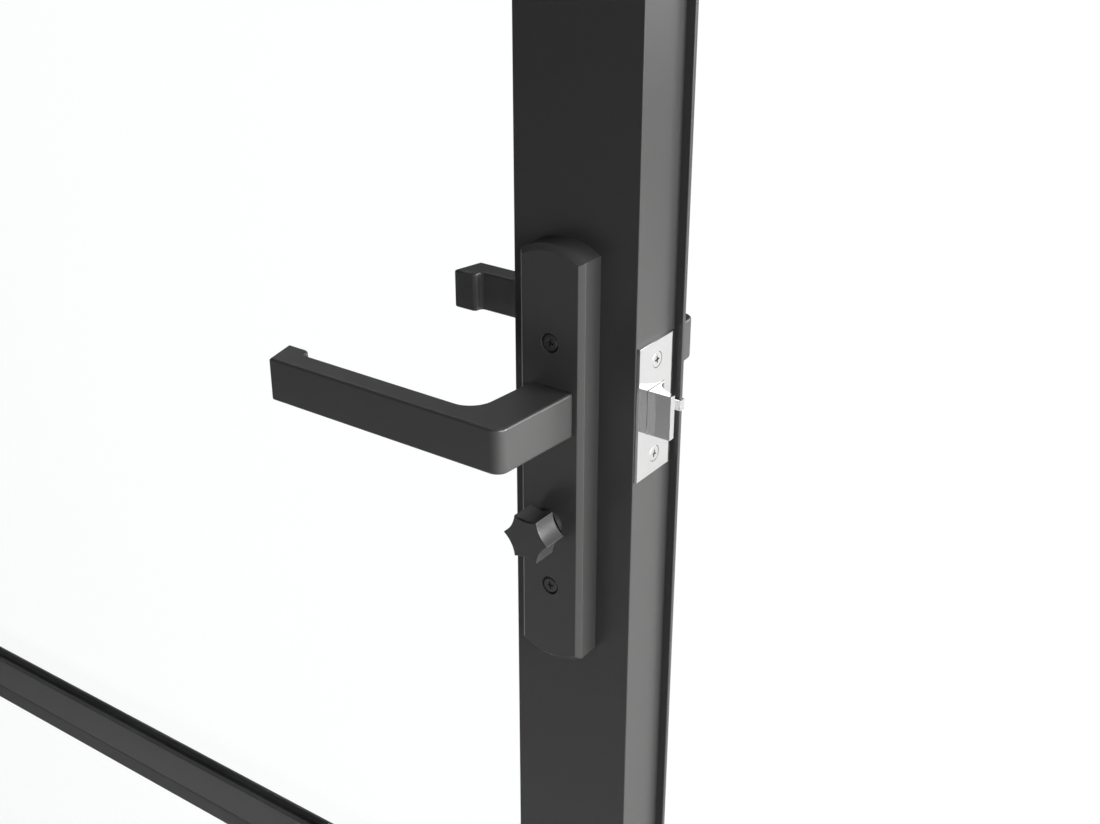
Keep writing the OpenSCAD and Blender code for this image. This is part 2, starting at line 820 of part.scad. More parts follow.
module turn_knob() {
    front = -plate_d - 16.7;
    back = -plate_d - 5.5;
    color("#3a3b3d") hung() difference() {
        union() {
            along_y(front, back) translate([axis_x, turn_z]) star(star_r, star_in);
            rod_y(axis_x, turn_z, turn_r, back - 0.01, -2);
        }
        block([axis_x - 3.1, -plate_d - 6, turn_z - 1.1], [axis_x + 3.1, 0, turn_z + 1.1]);
    }
}

module turn_bar() {
    color("#9a9c9e") hung()
        block([axis_x - 3, -plate_d - 5.5, turn_z - 1], [axis_x + 3, leaf_t + plate_d, turn_z + 1]);
}

module key_cylinder() {
    color("#3a3b3d") hung() difference() {
        union() {
            rod_y(axis_x, turn_z, 8.5, leaf_t, leaf_t + plate_d);
            rod_y(axis_x, turn_z, 10, leaf_t + plate_d, leaf_t + plate_d + 3);
        }
        rod_y(axis_x, turn_z, 5.5 + fit, leaf_t - over, leaf_t + plate_d + 3 + over);
    }
}

module key_plug() {
    color("#a9abad") hung() difference() {
        rod_y(axis_x, turn_z, 5.5, leaf_t, leaf_t + plate_d + 3.4);
        block([axis_x - 3.1, leaf_t - over, turn_z - 1.1],
              [axis_x + 3.1, leaf_t + plate_d + 0.1, turn_z + 1.1]);
        block([axis_x - 3.6, leaf_t + plate_d + 0.6, turn_z - 0.7],
              [axis_x + 3.6, leaf_t + plate_d + 5, turn_z + 0.7]);
    }
}

// ---- latch --------------------------------------------------------------------------------

module latch_faceplate() {
    color("#dcdddd") hung() difference() {
        block([leaf_x, 0.8, lever_z - face_h / 2], [leaf_x + face_t, 0.8 + face_w, lever_z + face_h / 2]);
        block([leaf_x - over, bolt_y0 - 0.1, lever_z - bolt_h / 2 - 0.1],
              [leaf_x + 2 * over + face_t, bolt_y1 + 0.1, lever_z + bolt_h / 2 + 0.1]);
        block([leaf_x - over, bolt_y1, lever_z - plunger_h / 2 - 0.1],
              [leaf_x + 2 * over + face_t, plunger_y0 + plunger_w + 0.1, lever_z + plunger_h / 2 + 0.1]);
        faceplate_screw_places() screw_hole(face_screw_size);
    }
}

module faceplate_screw_places() {
    for (s = [-1, 1]) translate([leaf_x + face_t + 0.05, 0.8 + face_w / 2, lever_z + s * face_screw])
        rotate([0, -90, 0]) children();
}

module faceplate_screws() {
    color("#cfd0d0") hung() faceplate_screw_places() screw(face_screw_size);
}

module latch_case() {
    color("#b9babc") hung() difference() {
        block([leaf_x - case_depth, case_y0, lever_z - case_up], [leaf_x, case_y1, lever_z + case_up]);
        block([leaf_x - case_depth + case_wall, case_y0 + case_wall, lever_z - case_up + case_wall],
              [leaf_x + over, case_y1 - case_wall, lever_z + case_up - case_wall]);
        rod_y(axis_x, lever_z, 6.5 + fit, case_y0 - over, case_y1 + over);
    }
}

module hub_spring() {
    color("#a9abad") hung() translate([axis_x, bolt_y0 + 1.6, lever_z]) rotate([90, 0, 0])
        coil(hub_r + 0.1 + hub_wire / 2, hub_wire, 1.2, 2);
}

// hub turned by the spindle, with the arm that draws the bolt
module latch_hub() {
    color("#b9babc") hung() difference() {
        union() {
            rod_y(axis_x, lever_z, hub_r, case_y0 + case_wall + 0.2, case_y1 - case_wall - 0.2);
            rod_y(axis_x, lever_z, 6.5, case_y0 - 0.6, case_y1 + 0.6);
            translate([axis_x, 0, lever_z]) rotate([0, arm_half, 0])
                block([-2, bolt_y0 + 3, 0], [2, bolt_y1 - 3, arm_r]);
        }
        block([axis_x - spindle_w / 2 - fit, 0, lever_z - spindle_w / 2 - fit],
              [axis_x + spindle_w / 2 + fit, leaf_t, lever_z + spindle_w / 2 + fit]);
    }
}

// bolt seen from above: flat towards the front, curved bevel towards the stop
module bolt_plan() {
    tip = leaf_x + bolt_out;
    nose = 3;
    root = leaf_x + face_t + 0.4;
    wide = bolt_w - nose;
    long = tip - root;
    steps = 10;
    polygon(concat(
        [[leaf_x - 13, bolt_y0], [tip, bolt_y0], [tip, bolt_y0 + nose]],
        [for (i = [1:steps]) let (a = 90 * i / steps)
            [root + long * (1 - sin(a)), bolt_y0 + nose + wide * (1 - cos(a))]],
        [[leaf_x - 13, bolt_y1]]));
}

module latch_bolt() {
    y0 = bolt_y0 + 3;
    y1 = bolt_y1 - 3;
    top = lever_z + tail_z + tail_t;
    color("#d4d5d5") hung() union() {
        translate([0, 0, lever_z - bolt_h / 2]) linear_extrude(bolt_h) bolt_plan();
        block([leaf_x - 13, y0, lever_z], [leaf_x - 9, y1, top]);
        block([axis_x - 0.6, y0, lever_z + tail_z], [leaf_x - 9, y1, top]);
        block([axis_x - 0.6, y0, lever_z + 9.5], [axis_x + 1.2, y1, top]);
    }
}

module deadlatch_plunger() {
    color("#cfd0d0") hung()
        block([leaf_x - 9, plunger_y0, lever_z - plunger_h / 2],
              [leaf_x + plunger_out, plunger_y0 + plunger_w, lever_z + plunger_h / 2]);
}

// ---- choice of node -----------------------------------------------------------------------

hinge_jamb();
lock_jamb();
head();
threshold();
frame_corner_keys();
threshold_screws();
side_seal(-1);  // hinge_side_seal
side_seal(1);  // lock_side_seal
head_seal();
strike_plate();
strike_screws();
hinge_frame_leaf(0);  // lower_hinge_frame_leaf
hinge_frame_leaf(1);  // middle_hinge_frame_leaf
hinge_frame_leaf(2);  // upper_hinge_frame_leaf
hinge_pin(0);  // lower_hinge_pin
hinge_pin(1);  // middle_hinge_pin
hinge_pin(2);  // upper_hinge_pin
hinge_frame_screws();
lock_stile();
hinge_stile();
top_rail();
bottom_rail();
glazing_bar();
leaf_corner_keys();
glazing_bar_screws();
upper_glass();
lower_glass();
upper_gasket();
lower_gasket();
bottom_sweep();
hinge_door_leaf(0);  // lower_hinge_door_leaf
hinge_door_leaf(1);  // middle_hinge_door_leaf
hinge_door_leaf(2);  // upper_hinge_door_leaf
hinge_door_screws();
inside_plate();
outside_plate();
plate_screws();
lever_bushes();
lever_springs();
key_cylinder();
latch_faceplate();
faceplate_screws();
latch_case();
hub_spring();
inside_lever();
outside_lever();
spindle();
lever_grub_screws();
latch_hub();
turn_knob();
turn_bar();
key_plug();
latch_bolt();
deadlatch_plunger();
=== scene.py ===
"""Looks of a hinged glass door: aluminium leaf, outer frame, lever handles, turn and latch."""

import json
import math

import bmesh
import bpy
from bpy.props import FloatProperty, FloatVectorProperty, PointerProperty
from mathutils import Matrix, Vector

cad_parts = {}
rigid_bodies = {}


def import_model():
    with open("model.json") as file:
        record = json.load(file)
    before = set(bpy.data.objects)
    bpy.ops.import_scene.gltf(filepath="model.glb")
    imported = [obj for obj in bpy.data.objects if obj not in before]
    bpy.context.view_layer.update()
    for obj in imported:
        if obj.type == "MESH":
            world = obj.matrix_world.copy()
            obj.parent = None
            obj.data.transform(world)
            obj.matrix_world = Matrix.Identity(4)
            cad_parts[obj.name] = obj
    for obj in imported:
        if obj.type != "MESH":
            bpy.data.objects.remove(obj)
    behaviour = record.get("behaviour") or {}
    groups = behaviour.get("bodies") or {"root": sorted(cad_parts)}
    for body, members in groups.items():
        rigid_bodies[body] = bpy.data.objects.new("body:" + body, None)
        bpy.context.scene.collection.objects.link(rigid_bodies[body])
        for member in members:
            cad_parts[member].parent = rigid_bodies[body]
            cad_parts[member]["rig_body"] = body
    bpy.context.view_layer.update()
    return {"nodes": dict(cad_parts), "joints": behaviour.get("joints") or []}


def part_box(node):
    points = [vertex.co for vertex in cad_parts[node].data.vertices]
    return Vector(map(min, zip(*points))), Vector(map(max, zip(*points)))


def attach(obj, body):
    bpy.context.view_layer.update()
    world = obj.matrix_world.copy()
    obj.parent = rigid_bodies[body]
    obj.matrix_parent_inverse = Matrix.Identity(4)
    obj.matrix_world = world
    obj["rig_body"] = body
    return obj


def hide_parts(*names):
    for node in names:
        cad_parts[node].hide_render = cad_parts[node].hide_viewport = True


bl_info = {
    "name": "Glass Door",
    "version": (1, 0, 0),
    "blender": (4, 5, 0),
    "location": "3D View > Sidebar > Glass Door",
    "description": "Models the visible pieces of a framed glass door around its construction",
    "category": "Add Mesh",
}

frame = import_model()
MM = 0.001

SWING = next(j for j in frame["joints"] if j["name"] == "door_swing")
PIN = Matrix.Translation(SWING["pos_m"])
# carries a piece of the shut leaf to where the leaf stands open at rest
LEAF = PIN @ Matrix.Rotation(-math.radians(SWING["range_deg"][1]), 4, "Z") @ PIN.inverted()


def shut_box(node):
    """Lowest and highest corner of a leaf node, as it is while the leaf is shut."""
    shut = LEAF.inverted()
    axes = list(zip(*(shut @ v.co for v in frame["nodes"][node].data.vertices)))
    return Vector([min(axis) for axis in axes]), Vector([max(axis) for axis in axes])


# ---- sizes and colours ---------------------------------------------------------------------


def length(name, description, default):
    """A length in metres that the panel shows in the scene's unit."""
    return FloatProperty(name=name, description=description, default=default, min=0.0,
                         precision=5, subtype="DISTANCE", unit="LENGTH")


def colour(name, description, default):
    """A linear colour."""
    return FloatVectorProperty(name=name, description=description, default=default, size=3,
                               min=0.0, max=1.0, subtype="COLOR")


class DoorSizes(bpy.types.PropertyGroup):
    """Sizes of the details that the construction leaves plain."""

    profile_edge: length("Profile Edge", "Rounding of an extruded profile's edges", 0.45 * MM)
    hinge_edge: length("Hinge Edge", "Rounding of a hinge leaf's edges", 0.4 * MM)
    glass_arris: length("Glass Arris", "Chamfer along the edges of the glass", 0.6 * MM)
    plate_arch: length("Plate Arch", "Rise of a handle plate's arched ends", 4.5 * MM)
    plate_chamfer: length("Plate Chamfer", "Chamfer round a handle plate's face", 2.1 * MM)
    plate_edge: length("Plate Edge", "Rounding where the plate's faces meet", 0.22 * MM)
    neck_left: length("Neck Left", "Lever neck's half width on the grip's side", 9.0 * MM)
    neck_right: length("Neck Right", "Lever neck's half width on the far side", 10.8 * MM)
    neck_lean: length("Neck Lean", "How far the neck leans towards the grip", 2.7 * MM)
    grip: length("Grip", "Thickness of the lever's grip", 10.6 * MM)
    hook_long: length("Hook Length", "Length of the hook at the lever's tip", 12.0 * MM)
    tip_lean: length("Tip Lean", "How far the lever's end slants", 3.6 * MM)
    hook_rise: length("Hook Rise", "How far the hook stands behind the grip", 4.4 * MM)
    outer_corner: length("Outer Corner", "Radius of the lever's outer corner", 5.0 * MM)
    inner_corner: length("Inner Corner", "Radius of the lever's inner corner", 9.0 * MM)
    grip_edge: length("Grip Edge", "Rounding of the grip's long edges", 1.1 * MM)
    star_point: length("Star Point", "Radius over the points of the turn", 10.85 * MM)
    star_hollow: length("Star Hollow", "Radius at the hollows of the turn", 8.2 * MM)
    star_edge: length("Star Edge", "Rounding of the turn's edges", 0.35 * MM)
    pan_head: length("Pan Head", "Radius of a handle plate's screw head", 3.55 * MM)
    flat_head: length("Flat Head", "Radius of a faceplate's screw head", 3.25 * MM)
    steel_edge: length("Steel Edge", "Rounding of the latch's edges", 0.18 * MM)


class DoorColours(bpy.types.PropertyGroup):
    """Colours of the finishes."""

    paint: colour("Paint", "Powder coat on the leaf and the outer frame", (0.0245, 0.0244, 0.0242))
    hardware: colour("Hardware", "Powder coat on the handle set", (0.0325, 0.0323, 0.032))
    oxide: colour("Black Oxide", "Blackened screws", (0.055, 0.055, 0.056))
    steel: colour("Latch Steel", "Polished latch parts", (0.555, 0.555, 0.557))
    zinc: colour("Zinc", "Plated inner parts", (0.56, 0.57, 0.58))
    rubber: colour("Rubber", "Gaskets and seals", (0.012, 0.012, 0.0125))
    nylon: colour("Nylon", "Bushes of the levers", (0.02, 0.02, 0.0202))
    glass: colour("Glass", "Tint of the panes", (0.985, 0.996, 0.992))
    floor: colour("Floor", "Studio floor", (0.55, 0.55, 0.545))


# ---- editing by hand -----------------------------------------------------------------------


def clear_selection():
    """Leaves edit mode and deselects everything."""
    if bpy.context.object and bpy.context.object.mode != "OBJECT":
        bpy.ops.object.mode_set(mode="OBJECT")
    bpy.ops.object.select_all(action="DESELECT")


def choose(obj):
    """Makes one object the only selected one."""
    clear_selection()
    obj.select_set(True)
    bpy.context.view_layer.objects.active = obj


def edit(obj):
    """Opens one object for editing with nothing in it selected."""
    choose(obj)
    bpy.ops.object.mode_set(mode="EDIT")
    bpy.ops.mesh.select_all(action="DESELECT")


def pick(obj, kind, test):
    """Selects the points, edges or faces that pass a test, and nothing else."""
    bpy.ops.mesh.select_mode(type=kind)
    bpy.ops.mesh.select_all(action="DESELECT")
    mesh = bmesh.from_edit_mesh(obj.data)
    mesh.normal_update()
    for item in {"VERT": mesh.verts, "EDGE": mesh.edges, "FACE": mesh.faces}[kind]:
        if test(item):
            item.select_set(True)
    bmesh.update_edit_mesh(obj.data)


def begin(name):
    """Names the primitive just added, puts its place in its mesh and opens it for editing."""
    obj = bpy.context.object
    obj.name = obj.data.name = name
    bpy.ops.object.transform_apply(location=True, rotation=True, scale=True)
    bpy.ops.object.mode_set(mode="EDIT")
    bpy.ops.mesh.select_mode(type="VERT")
    bpy.ops.mesh.select_all(action="SELECT")
    return obj


def start_block(name, low, high):
    """Block between two corners, open for editing."""
    clear_selection()
    low, high = Vector(low), Vector(high)
    bpy.ops.mesh.primitive_cube_add(size=1, location=(low + high) / 2, scale=high - low)
    return begin(name)


def start_rod(name, radius, start, end, sides=48):
    """Round bar between two points, open for editing."""
    clear_selection()
    start, end = Vector(start), Vector(end)
    axis = end - start
    bpy.ops.mesh.primitive_cylinder_add(
        vertices=sides, radius=radius, depth=axis.length, location=(start + end) / 2,
        rotation=axis.to_track_quat("Z", "Y").to_euler())
    return begin(name)


def draw_outline(name, corners):
    """Flat outline walked from corner to corner with the extrude tool, filled and selected."""
    clear_selection()
    corners = [Vector(c) for c in corners]
    bpy.ops.mesh.primitive_plane_add(size=MM, location=corners[0])
    obj = begin(name)
    bpy.ops.mesh.merge(type="CENTER")
    for here, there in zip(corners, corners[1:]):
        extrude(there - here)
    bpy.ops.mesh.select_all(action="SELECT")
    bpy.ops.mesh.edge_face_add()
    return obj


def extrude(step):
    """Extrudes what is selected by a step."""
    bpy.ops.mesh.extrude_region_move(TRANSFORM_OT_translate={"value": step})


def draw_out(name, corners, step):
    """Solid of one outline drawn out by a step, open for editing."""
    obj = draw_outline(name, corners)
    extrude(step)
    turn_outwards()
    return obj


def turn_outwards():
    """Makes every face of the open mesh point outwards."""
    bpy.ops.mesh.select_all(action="SELECT")
    bpy.ops.mesh.normals_make_consistent(inside=False)


def bevel(width, steps):
    """Rounds the selected edges."""
    bpy.ops.mesh.bevel(offset=width, segments=steps, affect="EDGES", clamp_overlap=False)


def apply_modifier(obj, kind, **settings):
    """Adds one modifier to an object and applies it."""
    choose(obj)
    bpy.ops.object.modifier_add(type=kind)
    modifier = obj.modifiers[-1]
    for name, value in settings.items():
        setattr(modifier, name, value)
    bpy.ops.object.modifier_apply(modifier=modifier.name)


def carve(obj, cutter, operation="DIFFERENCE"):
    """Cuts another solid out of an object, or joins it on, and removes that solid."""
    clear_selection()
    apply_modifier(obj, "BOOLEAN", operation=operation, solver="EXACT", object=cutter)
    bpy.data.objects.remove(cutter)
    weld(obj)


def weld(obj):
    """Merges the points of an object that lie on each other."""
    edit(obj)
    bpy.ops.mesh.select_all(action="SELECT")
    bpy.ops.mesh.remove_doubles(threshold=0.002 * MM)
    clear_selection()


def is_outer_edge(edge, shortest, sharp=30):
    """Whether an edge is convex, sharp and not shorter than a length."""
    return (len(edge.link_faces) == 2 and edge.is_convex and edge.calc_length() >= shortest
            and edge.calc_face_angle(0) > math.radians(sharp))


def round_selected(obj, width, steps):
    """Rounds the selected edges with a Bevel modifier, and leaves edit mode."""
    bpy.ops.transform.edge_bevelweight(value=1)
    apply_modifier(obj, "BEVEL", limit_method="WEIGHT", width=width, segments=steps,
                   use_clamp_overlap=False)


def round_outer_edges(obj, width, shortest, steps=2):
    """Rounds the convex edges that are long enough to take it."""
    edit(obj)
    pick(obj, "EDGE", lambda edge: is_outer_edge(edge, shortest))
    round_selected(obj, width, steps)


def merged_copy(node, name):
    """Copy of a construction node with its loose triangles merged into clean faces."""
    obj = bpy.data.objects.new(name, frame["nodes"][node].data.copy())
    bpy.context.scene.collection.objects.link(obj)
    choose(obj)
    bpy.ops.mesh.customdata_custom_splitnormals_clear()
    edit(obj)
    bpy.ops.mesh.select_all(action="SELECT")
    bpy.ops.mesh.remove_doubles(threshold=1e-6)
    bpy.ops.mesh.dissolve_limited(angle_limit=math.radians(0.5))
    return obj


def place_copy(obj, name, place):
    """Copy of a shape with a mesh of its own, moved by a matrix."""
    clear_selection()
    twin = bpy.data.objects.new(name, obj.data.copy())
    bpy.context.scene.collection.objects.link(twin)
    choose(twin)
    twin.matrix_world = place
    bpy.ops.object.transform_apply(location=True, rotation=True, scale=True)
    if place.is_negative:
        edit(twin)
        turn_outwards()
        clear_selection()
    return twin


def settle(obj, slot, *nodes, shut=False, smooth=50):
    """Finishes a piece: place, shading, material, and its ties to the construction."""
    choose(obj)
    if shut:
        obj.matrix_world = LEAF
        bpy.ops.object.transform_apply(location=True, rotation=True, scale=True)
    bpy.ops.object.shade_smooth_by_angle(angle=math.radians(smooth))
    apply_modifier(obj, "WEIGHTED_NORMAL", keep_sharp=True, weight=100)
    obj.data.materials.clear()
    obj.data.materials.append(finish(slot))
    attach(obj, frame["nodes"][nodes[0]]["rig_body"])
    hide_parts(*nodes)


# ---- node groups ---------------------------------------------------------------------------


class Graph:
    """Adds nodes to one node tree."""

    def __init__(self, tree):
        self.tree = tree

    def plug(self, node, feeds):
        """Gives a node's inputs values or the outputs of other nodes."""
        for socket, value in feeds.items():
            if isinstance(value, bpy.types.NodeSocket):
                self.tree.links.new(value, node.inputs[socket])
            else:
                node.inputs[socket].default_value = value

    def add(self, kind, feeds=None, **settings):
        """One node with its settings and its inputs."""
        made = self.tree.nodes.new(kind)
        for name, value in settings.items():
            setattr(made, name, value)
        self.plug(made, feeds or {})
        return made

    def position(self):
        """Where on the object a pattern is read."""
        return self.add("ShaderNodeTexCoord").outputs["Object"]

    def math(self, operation, *values):
        """Output of a Math node."""
        return self.add("ShaderNodeMath", dict(enumerate(values)), operation=operation).outputs[0]

    def spread(self, value, low, high, to_low=0.0, to_high=1.0):
        """A value mapped from one range to another and held inside it."""
        feeds = {"Value": value, "From Min": low, "From Max": high,
                 "To Min": to_low, "To Max": to_high}
        return self.add("ShaderNodeMapRange", feeds).outputs["Result"]

    def noise(self, vector, scale, detail=2.0, roughness=0.5):
        """Noise from 0 to 1."""
        feeds = {"Vector": vector, "Scale": scale, "Detail": detail, "Roughness": roughness}
        return self.add("ShaderNodeTexNoise", feeds).outputs["Fac"]

    def blend(self, factor, first, second):
        """Mix of two colours."""
        feeds = {0: factor, 6: first, 7: second}
        return self.add("ShaderNodeMix", feeds, data_type="RGBA").outputs[2]

    def scaled_colour(self, tone, factor):
        """A colour times a number."""
        feeds = {0: tone, "Scale": factor}
        return self.add("ShaderNodeVectorMath", feeds, operation="SCALE").outputs[0]

    def vary(self, value, pattern, amount):
        """A value shifted up and down by a pattern from 0 to 1."""
        return self.math("MULTIPLY_ADD", self.math("SUBTRACT", pattern, 0.5), amount, value)

    def show_mix(self, output, factor, first, second):
        """Sends a mix of two shaders to the tree's output node."""
        feeds = {0: factor, 1: first.outputs[0], 2: second.outputs[0]}
        mix = self.add("ShaderNodeMixShader", feeds)
        self.plug(self.tree.nodes[output], {"Surface": mix.outputs[0]})


def start_group(name, inputs, outputs):
    """New shader node group with its graph, its inputs and its output node."""
    tree = bpy.data.node_groups.new(name, "ShaderNodeTree")
    for label, kind, value in inputs:
        socket = tree.interface.new_socket(label, in_out="INPUT", socket_type=kind)
        socket.default_value = value
    for label, kind in outputs:
        tree.interface.new_socket(label, in_out="OUTPUT", socket_type=kind)
    graph = Graph(tree)
    return graph, graph.add("NodeGroupInput").outputs, graph.add("NodeGroupOutput")


def powder_grain_group():
    """Fine orange peel of a powder coat, with a faint change of tone and gloss."""
    graph, given, out = start_group(
        "powder_grain",
        [("Color", "NodeSocketColor", (0.02, 0.02, 0.02, 1)),
         ("Roughness", "NodeSocketFloat", 0.4), ("Peel Scale", "NodeSocketFloat", 900.0),
         ("Mottle", "NodeSocketFloat", 0.08)],
        [("Color", "NodeSocketColor"), ("Roughness", "NodeSocketFloat"),
         ("Height", "NodeSocketFloat")])
    place = graph.position()
    scale, mottle = given["Peel Scale"], given["Mottle"]
    peel = graph.noise(place, scale, 3.0, 0.55)
    fine = graph.noise(place, graph.math("MULTIPLY", scale, 5.0))
    cloud = graph.noise(place, 7.0, 4.0, 0.6)
    grains = graph.add("ShaderNodeTexVoronoi", {
        "Vector": place, "Scale": graph.math("MULTIPLY", scale, 2.0)}).outputs["Distance"]
    tone = graph.vary(graph.vary(1.0, cloud, mottle), peel, mottle)
    gloss = graph.vary(graph.vary(given["Roughness"], peel, 0.1), cloud, 0.08)
    height = graph.math("ADD", peel, graph.math("MULTIPLY", fine, 0.2))
    height = graph.math("ADD", height, graph.math("MULTIPLY", grains, 0.15))
    graph.plug(out, {"Color": graph.scaled_colour(given["Color"], tone),
                     "Roughness": gloss, "Height": height})


def painted_edge_highlight_group():
    """Mask of the edges that get a painted highlight, patchy along their length."""
    graph, given, out = start_group(
        "painted_edge_highlight",
        [("Width", "NodeSocketFloat", 0.4 * MM), ("Amount", "NodeSocketFloat", 0.5)],
        [("Mask", "NodeSocketFloat")])
    # the Bevel normal set against the true normal finds the edges that are painted lighter as a
    # painted highlight
    rounded = graph.add("ShaderNodeBevel", {"Radius": given["Width"]}, samples=4)
    flat = graph.add("ShaderNodeNewGeometry")
    meet = graph.add("ShaderNodeVectorMath", {0: rounded.outputs[0], 1: flat.outputs["Normal"]},
                     operation="DOT_PRODUCT").outputs["Value"]
    mask = graph.spread(graph.math("SUBTRACT", 1.0, meet), 0.01, 0.12)
    place = graph.position()
    patchy = graph.spread(graph.noise(place, 160.0, 5.0, 0.65), 0.35, 0.7)
    mask = graph.math("MULTIPLY", graph.math("MULTIPLY", mask, patchy), given["Amount"])
    graph.plug(out, {"Mask": mask})


def brush_lines_group():
    """Fine parallel lines of a ground or polished metal face."""
    graph, given, out = start_group(
        "brush_lines",
        [("Roughness", "NodeSocketFloat", 0.15), ("Along", "NodeSocketVector", (1, 1, 0.02)),
         ("Lines", "NodeSocketFloat", 2500.0), ("Streak", "NodeSocketFloat", 0.05)],
        [("Roughness", "NodeSocketFloat"), ("Height", "NodeSocketFloat")])
    place = graph.position()
    stretched = graph.add("ShaderNodeVectorMath", {0: place, 1: given["Along"]},
                          operation="MULTIPLY").outputs[0]
    lines = graph.noise(stretched, given["Lines"], 3.0, 0.6)
    smear = graph.noise(place, 60.0, 3.0, 0.6)
    rough = graph.vary(given["Roughness"], lines, given["Streak"])
    rough = graph.vary(rough, smear, given["Streak"])
    graph.plug(out, {"Roughness": graph.math("MAXIMUM", rough, 0.02), "Height": lines})


def spangle_group():
    """Small crystals of a zinc coat, each with its own tone and gloss."""
    graph, given, out = start_group(
        "spangle",
        [("Color", "NodeSocketColor", (0.5, 0.5, 0.5, 1)), ("Scale", "NodeSocketFloat", 320.0)],
        [("Color", "NodeSocketColor"), ("Roughness", "NodeSocketFloat")])
    place = graph.position()
    cells = graph.add("ShaderNodeTexVoronoi", {"Vector": place, "Scale": given["Scale"]})
    tone = graph.add("ShaderNodeSeparateColor", {"Color": cells.outputs["Color"]})
    factor = graph.spread(tone.outputs[0], 0.0, 1.0, 0.86, 1.1)
    graph.plug(out, {"Color": graph.scaled_colour(given["Color"], factor),
                     "Roughness": graph.spread(tone.outputs[1], 0.0, 1.0, 0.28, 0.46)})


def rubber_bloom_group():
    """Fine matte grain of moulded rubber or plastic, with paler bloom in patches."""
    graph, given, out = start_group(
        "rubber_bloom",
        [("Color", "NodeSocketColor", (0.01, 0.01, 0.01, 1)),
         ("Bloom", "NodeSocketColor", (0.03, 0.03, 0.03, 1)),
         ("Roughness", "NodeSocketFloat", 0.7), ("Grain Scale", "NodeSocketFloat", 3000.0)],
        [("Color", "NodeSocketColor"), ("Roughness", "NodeSocketFloat"),
         ("Height", "NodeSocketFloat")])
    place = graph.position()
    grain = graph.noise(place, given["Grain Scale"], 3.0, 0.6)
    patch = graph.spread(graph.noise(place, 35.0, 5.0, 0.65), 0.5, 0.8, 0.0, 0.6)
    tone = graph.blend(patch, given["Color"], given["Bloom"])
    rough = graph.vary(given["Roughness"], grain, 0.15)
    graph.plug(out, {"Color": tone, "Roughness": rough, "Height": grain})


def group_node(graph, name, feeds):
    """One of the shared groups placed in a material."""
    return graph.add("ShaderNodeGroup", feeds, node_tree=shared_group(name))


def shared_group(name):
    """A node group by name, built the first time it is asked for."""
    builders = {"powder_grain": powder_grain_group, "painted_edge_highlight": painted_edge_highlight_group,
                "brush_lines": brush_lines_group, "spangle": spangle_group,
                "rubber_bloom": rubber_bloom_group}
    if name not in bpy.data.node_groups:
        builders[name]()
    return bpy.data.node_groups[name]


# ---- materials -----------------------------------------------------------------------------


def opaque(tone):
    """A colour with its alpha."""
    return (*tone, 1.0)


def start_material(name, **constants):
    """New material with its graph and its Principled shader."""
    material = bpy.data.materials.new(name)
    material.use_nodes = True
    graph = Graph(material.node_tree)
    shader = material.node_tree.nodes["Principled BSDF"]
    for socket, value in constants.items():
        shader.inputs[socket.replace("_", " ")].default_value = value
    return material, graph, shader


def feed(graph, shader, **links):
    """Links outputs to a shader's sockets."""
    graph.plug(shader, {socket.replace("_", " "): output for socket, output in links.items()})


def raised(graph, height, strength, depth):
    """Normal of a surface raised by a height pattern."""
    feeds = {"Height": height, "Strength": strength, "Distance": depth}
    return graph.add("ShaderNodeBump", feeds).outputs["Normal"]


def powder_coat(name, tone, roughness, peel_scale, highlight_amount):
    """Satin powder coat on metal, with a painted highlight that makes its edges a little brighter,
    and a little glossier there.
    """
    material, graph, shader = start_material(name, IOR=1.5)
    coat = group_node(graph, "powder_grain", {
        "Color": opaque(tone), "Roughness": roughness, "Peel Scale": peel_scale, "Mottle": 0.14})
    # painted highlight: the edges are painted paler, and their roughness is lowered a little
    highlight_mask = group_node(graph, "painted_edge_highlight", {"Width": 0.5 * MM, "Amount": highlight_amount}).outputs["Mask"]
    highlight_tone = opaque([min(1.0, 2.6 * channel) for channel in tone])
    feed(graph, shader, Base_Color=graph.blend(highlight_mask, coat.outputs["Color"], highlight_tone),
         Roughness=graph.math("SUBTRACT", coat.outputs["Roughness"],
                              graph.math("MULTIPLY", highlight_mask, 0.12)),
         Normal=raised(graph, coat.outputs["Height"], 0.35, 0.02 * MM))
    return material


def black_oxide(name, tone):
    """Blackened steel with a thin oil film, with a painted highlight that makes its edges pale
    grey.
    """
    material, graph, shader = start_material(name, Metallic=0.6, IOR=1.6)
    lines = group_node(graph, "brush_lines", {
        "Roughness": 0.3, "Along": (1, 1, 1), "Lines": 1800.0, "Streak": 0.12})
    highlight_mask = group_node(graph, "painted_edge_highlight", {"Width": 0.25 * MM, "Amount": 0.6}).outputs["Mask"]
    # painted highlight: a pale grey is painted along the edges
    feed(graph, shader, Base_Color=graph.blend(highlight_mask, opaque(tone), (0.16, 0.16, 0.165, 1)),
         Roughness=lines.outputs["Roughness"],
         Normal=raised(graph, lines.outputs["Height"], 0.15, 0.01 * MM))
    return material


def polished_steel(name, tone):
    """Polished steel with the faint lines of its last polish."""
    material, graph, shader = start_material(name, Metallic=1.0)
    lines = group_node(graph, "brush_lines", {
        "Roughness": 0.1, "Along": (1, 1, 0.03), "Lines": 2600.0, "Streak": 0.06})
    place = graph.position()
    haze = graph.spread(graph.noise(place, 90.0, 4.0, 0.6), 0.3, 0.8)
    feed(graph, shader,
         Base_Color=graph.blend(haze, opaque(tone), opaque([0.93 * c for c in tone])),
         Roughness=lines.outputs["Roughness"],
         Normal=raised(graph, lines.outputs["Height"], 0.04, 0.01 * MM))
    return material


def zinc_plate(name, tone):
    """Zinc plate with small crystals."""
    material, graph, shader = start_material(name, Metallic=1.0)
    zinc = group_node(graph, "spangle", {"Color": opaque(tone), "Scale": 420.0})
    place = graph.position()
    feed(graph, shader, Base_Color=zinc.outputs["Color"], Roughness=zinc.outputs["Roughness"],
         Normal=raised(graph, graph.noise(place, 1500.0, 3.0), 0.1, 0.02 * MM))
    return material


